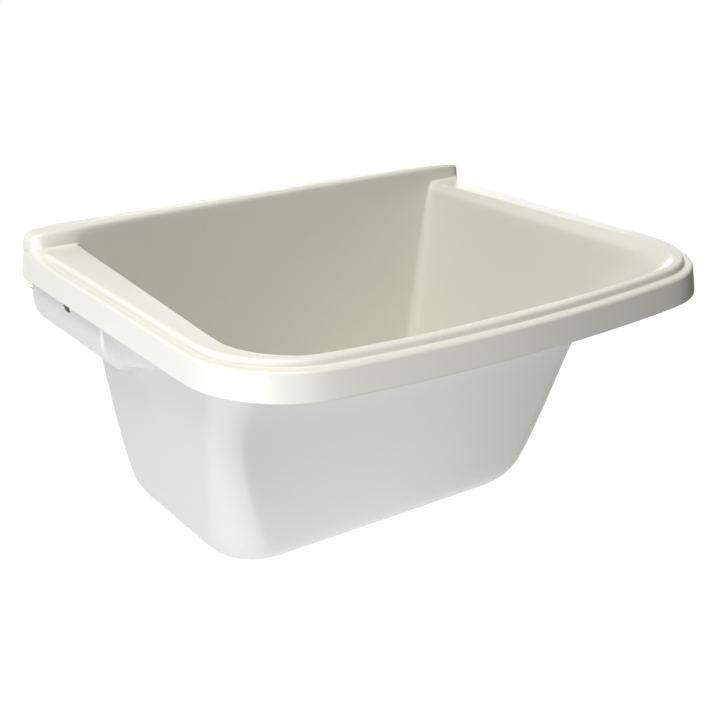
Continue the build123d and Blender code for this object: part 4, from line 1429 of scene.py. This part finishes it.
class SINK_OT_brackets(bpy.types.Operator):
    """Hang the pressed steel brackets inside the cheeks, edges and bends softened"""

    bl_idname = "sink.brackets"
    bl_label = "Brackets"

    def execute(self, context):
        paint = moulded_finish("bracket_paint", settings("finishes").paint, roughness=0.32)
        for name in ("bracket_left", "bracket_right"):
            mesh = bmesh.new()
            mesh.from_mesh(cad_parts[name].data)
            bmesh.ops.remove_doubles(mesh, verts=mesh.verts[:], dist=1e-6)
            bmesh.ops.dissolve_limit(
                mesh, angle_limit=math.radians(0.5), verts=mesh.verts[:], edges=mesh.edges[:])
            data = bpy.data.meshes.new(name + "_pressed")
            mesh.to_mesh(data)
            mesh.free()
            piece = bpy.data.objects.new(name + "_pressed", data)
            context.scene.collection.objects.link(piece)
            edge = piece.modifiers.new("edge", "BEVEL")
            edge.width = 0.5 * MM
            edge.segments = 2
            edge.limit_method = "ANGLE"
            edge.angle_limit = math.radians(40)
            dressed(shaded(baked(piece), sharp=40), paint, "sink", name, slot="bracket_paint")
        return {"FINISHED"}


class SINK_OT_fixings(bpy.types.Operator):
    """Drive the wall screws with their washers, and the screws up into the bosses"""

    bl_idname = "sink.fixings"
    bl_label = "Fixings"

    def execute(self, context):
        sizes = settings("fixings")
        zinc = steel_finish("fixing_zinc", settings("finishes").zinc, roughness=0.3, stretch=(1.0, 1.0, 1.0))
        seat = sizes.plate + sizes.washer_height
        half_x, half_z, step = sizes.spacing_x / 2, sizes.spacing_z / 2, (0.0, 0.0, sizes.spacing_z)
        screw = moved(self.wall_screw(sizes, seat, zinc), y=-seat, turn=(90, "X"))
        washer = moved(self.washer(sizes), y=-sizes.plate, turn=(90, "X"))
        for piece, node in ((screw, "wall_screws"), (washer, "screw_washers")):
            shaded(on_both_sides(piece, zinc, half_x, 0.0, -half_z, rows=2, step=step), sharp=35)
            dressed(piece, zinc, "sink", node, slot="fixing_zinc")
        low = settings("rim").ledge - sizes.bracket_drop - sizes.plate
        small = moved(self.basin_screw(sizes), z=low, turn=(180, "X"))
        shaded(on_both_sides(small, zinc, half_x, -sizes.boss_reach), sharp=35)
        dressed(small, zinc, "sink", "basin_screws", slot="fixing_zinc")
        return {"FINISHED"}

    def wall_screw(self, sizes, seat, zinc):
        """Hexagon head with its corners turned off, plain shank, wood thread and point."""
        corner, high = sizes.across / math.sqrt(3), sizes.head_height
        crown, chamfer, tip = sizes.across * 0.45, 1.1 * MM, 0.4 * MM
        head = [(0, high), (crown, high), (corner, high - chamfer), (corner, 0), (0, 0)]
        top = Cage().lathe(head, segments=6).finish("head")
        core = sizes.thread * 0.74
        end, cone = -sizes.screw_length, sizes.point - sizes.screw_length
        shank = [(0, 0), (sizes.shank, 0), (sizes.shank, -seat), (core, -seat - MM), (core, cone),
                 (tip, end), (0, end)]
        stem = Cage().lathe(shank, segments=32).finish("wall_screws")
        turns = (sizes.screw_length - seat - sizes.point) / sizes.pitch - 1
        values = {"Radius": sizes.thread, "Crest": sizes.thread - core, "Pitch": sizes.pitch,
                  "Turns": turns, "Start": (0, 0, cone)}
        thread_pattern().run(stem, zinc, values)
        return joined("wall_screws", stem, moved(top, turn=(30, "Z")))

    def washer(self, sizes):
        hole, high = sizes.thread + 0.5 * MM, sizes.washer_height
        outline = [(hole, 0), (sizes.washer, 0), (sizes.washer, high), (hole, high)]
        return spun("screw_washers", outline, radius=0.3 * MM, segments=48, closed=True)

    def basin_screw(self, sizes):
        """Pan head with a cross recess on a short shank."""
        head, high, shank = sizes.basin_head, sizes.basin_head_height, sizes.basin_screw
        end, shoulder = -sizes.plate - sizes.bite, high * 0.45
        long, short = head * 0.55, head * 0.12
        outline = [(0, high), (long, high), (head, shoulder), (head, 0), (shank, 0), (shank, end), (0, end)]
        piece = spun("basin_screws", outline, radius=0.6 * MM, segments=40)
        for half_x, half_y in ((long, short), (short, long)):
            cross = Cage().block((-half_x, -half_y, shoulder), (half_x, half_y, high + MM)).finish("cross")
            cut(piece, cross)
        return piece


# ---------------------------------------------------------------- the studio

# Lamps: place and target in metres, size across and up, colour, spread in degrees. A target of None
# is the middle of the sink.
LAMPS = {
    "key": ((-1.35, -1.05, 2.75), None, (1.8, 1.8), (1.0, 0.985, 0.955), 180),
    "low": ((-1.7, -0.75, -0.42), None, (1.6, 0.6), (0.87, 0.885, 1.0), 180),
    "fill": ((-0.2, -0.95, -0.7), (-0.02, -0.33, -0.28), (0.3, 0.3), (0.92, 0.94, 1.0), 70),
    "back": ((1.25, 1.58, -0.15), None, (1.6, 0.9), (1.0, 1.0, 1.0), 180),
}
CARD_DEPTH = (-2.6, 0.1)  # the dark card's edges in Y, then in Z
CARD_HEIGHT = (-0.9, 1.3)
CARD_COLOUR = (0.03, 0.03, 0.028)
FLOOR_EDGES = (-14.0, 14.0)
FLOOR_COLOUR = (0.22, 0.22, 0.22)
WHITE = (1, 1, 1, 1)
SENSOR = 36.0  # width of the camera's sensor in millimetres


def aim(place, target):
    """World matrix of a lamp at a place, turned towards a target."""
    place = Vector(place)
    turn = (Vector(target) - place).to_track_quat("-Z", "Y")
    return Matrix.Translation(place) @ turn.to_matrix().to_4x4()


def lamp(name, place, target, size, power, rgb, spread):
    """Soft rectangular lamp, its size given across and up, unseen by the camera."""
    data = bpy.data.lights.new(name, "AREA")
    data.shape = "RECTANGLE"
    data.size, data.size_y = size
    data.energy = power
    data.color = rgb
    data.spread = math.radians(spread)
    made = bpy.data.objects.new(name, data)
    made.matrix_world = aim(place, target)
    made.visible_camera = False
    bpy.context.scene.collection.objects.link(made)


def stage_sheet(name, rows, material):
    """Stage object of one face through two rows of points."""
    cage = Cage()
    cage.sheet([cage.points(row) for row in rows])
    made = cage.finish(name)
    made.data.materials.append(material)
    return made


def seen_directly(nodes):
    """1 for camera, glossy and transmission rays, 0 for the light that falls on things."""
    rays = nodes.tree.nodes.new("ShaderNodeLightPath")
    kinds = [Signal(nodes, rays.outputs["Is %s Ray" % kind]) for kind in ("Camera", "Glossy", "Transmission")]
    return nodes.add("ShaderNodeClamp", None, {"Value": kinds[0] + kinds[1] + kinds[2]})


class SINK_OT_stage(bpy.types.Operator):
    """Set the floor, the soft lamps, the white surround and the camera"""

    bl_idname = "sink.stage"
    bl_label = "Studio"

    def execute(self, context):
        studio = settings("studio")
        self.surround(studio)
        self.floor(studio)
        low, high = cad_box
        centre = (low + high) / 2
        for name, (place, target, size, rgb, spread) in LAMPS.items():
            lamp(name, place, target or centre, size, getattr(studio, name + "_power"), rgb, spread)
        self.card(studio)
        self.camera(context)
        context.scene.view_settings.view_transform = "Standard"
        return {"FINISHED"}

    def surround(self, studio):
        """White where it is seen, mirrored or looked through at, and the ambient level as light."""
        world = bpy.data.worlds.new("surround")
        bpy.context.scene.world = world
        world.use_nodes = True
        nodes = Nodes(world.node_tree)
        world.node_tree.nodes.clear()
        seen = seen_directly(nodes)
        even = nodes.add("ShaderNodeBackground", None, {"Color": WHITE, "Strength": studio.ambient})
        white = nodes.add("ShaderNodeBackground", None, {"Color": WHITE, "Strength": 1.0})
        mixed = nodes.add("ShaderNodeMixShader", None, {0: seen, 1: even, 2: white})
        output = world.node_tree.nodes.new("ShaderNodeOutputWorld")
        nodes.plug(output.inputs["Surface"], mixed)

    def card(self, studio):
        """Dark card out of the frame on the right, which the gloss of the front mirrors."""
        rows = [[(studio.card_x, y, z) for y in CARD_DEPTH] for z in CARD_HEIGHT]
        dark = Finish("card_dark", Base_Color=(*CARD_COLOUR, 1)).material
        stage_sheet("card", rows, dark).visible_camera = False

    def floor(self, studio):
        """Large white floor, well below the sink."""
        level = cad_box[0].z - studio.floor_drop
        rows = [[(x, y, level) for x in FLOOR_EDGES] for y in FLOOR_EDGES]
        material = bpy.data.materials.new("floor_white")
        material.use_nodes = True
        material.node_tree.nodes.clear()
        nodes = Nodes(material.node_tree)
        share = seen_directly(nodes) * studio.floor_glow
        matt = nodes.add("ShaderNodeBsdfDiffuse", None, {"Color": (*FLOOR_COLOUR, 1)})
        glow = nodes.add("ShaderNodeEmission", None, {"Color": WHITE, "Strength": studio.floor_level})
        mixed = nodes.add("ShaderNodeMixShader", None, {0: share, 1: matt, 2: glow})
        output = nodes.tree.nodes.new("ShaderNodeOutputMaterial")
        nodes.plug(output.inputs["Surface"], mixed)
        stage_sheet("floor", rows, material)

    def camera(self, context):
        view = settings("camera")
        level = Vector((math.sin(view.yaw), math.cos(view.yaw), 0.0))
        ahead = level * math.cos(view.pitch) - Vector((0, 0, math.sin(view.pitch)))
        right = Vector((math.cos(view.yaw), -math.sin(view.yaw), 0.0))
        above = right.cross(ahead)
        across = right * math.cos(view.roll) + above * math.sin(view.roll)
        upward = above * math.cos(view.roll) - right * math.sin(view.roll)
        turn = Matrix((across, upward, -ahead)).transposed().to_4x4()
        data = bpy.data.cameras.new("photo_view")
        data.sensor_width = SENSOR
        data.lens = view.lens
        made = bpy.data.objects.new("photo_view", data)
        made.matrix_world = Matrix.Translation(Vector(view.place)) @ turn
        context.scene.collection.objects.link(made)
        context.scene.camera = made


OPERATORS = (SINK_OT_basin, SINK_OT_waste, SINK_OT_plug, SINK_OT_brackets, SINK_OT_fixings, SINK_OT_stage)


class SINK_PT_sizes(bpy.types.Panel):
    """Sizes, colours and build steps of the laundry sink"""

    bl_idname = "SINK_PT_sizes"
    bl_label = "Laundry sink"
    bl_space_type = "VIEW_3D"
    bl_region_type = "UI"
    bl_category = "Sink"

    def draw(self, context):
        for operator in OPERATORS:
            self.layout.operator(operator.bl_idname)
        for name in GROUPS:
            box = self.layout.box()
            box.label(text=name.replace("sink_", "").capitalize())
            group = getattr(context.scene, name)
            for key in group.__annotations__:
                box.prop(group, key)


def register():
    for name, group in GROUPS.items():
        bpy.utils.register_class(group)
        setattr(bpy.types.Scene, name, bpy.props.PointerProperty(type=group))
    for item in OPERATORS + (SINK_PT_sizes,):
        bpy.utils.register_class(item)


def unregister():
    for item in (SINK_PT_sizes,) + OPERATORS[::-1]:
        bpy.utils.unregister_class(item)
    for name, group in reversed(GROUPS.items()):
        delattr(bpy.types.Scene, name)
        bpy.utils.unregister_class(group)


def main():
    register()
    for operator in OPERATORS:
        category, name = operator.bl_idname.split(".")
        getattr(getattr(bpy.ops, category), name)()


if __name__ == "__main__":
    main()
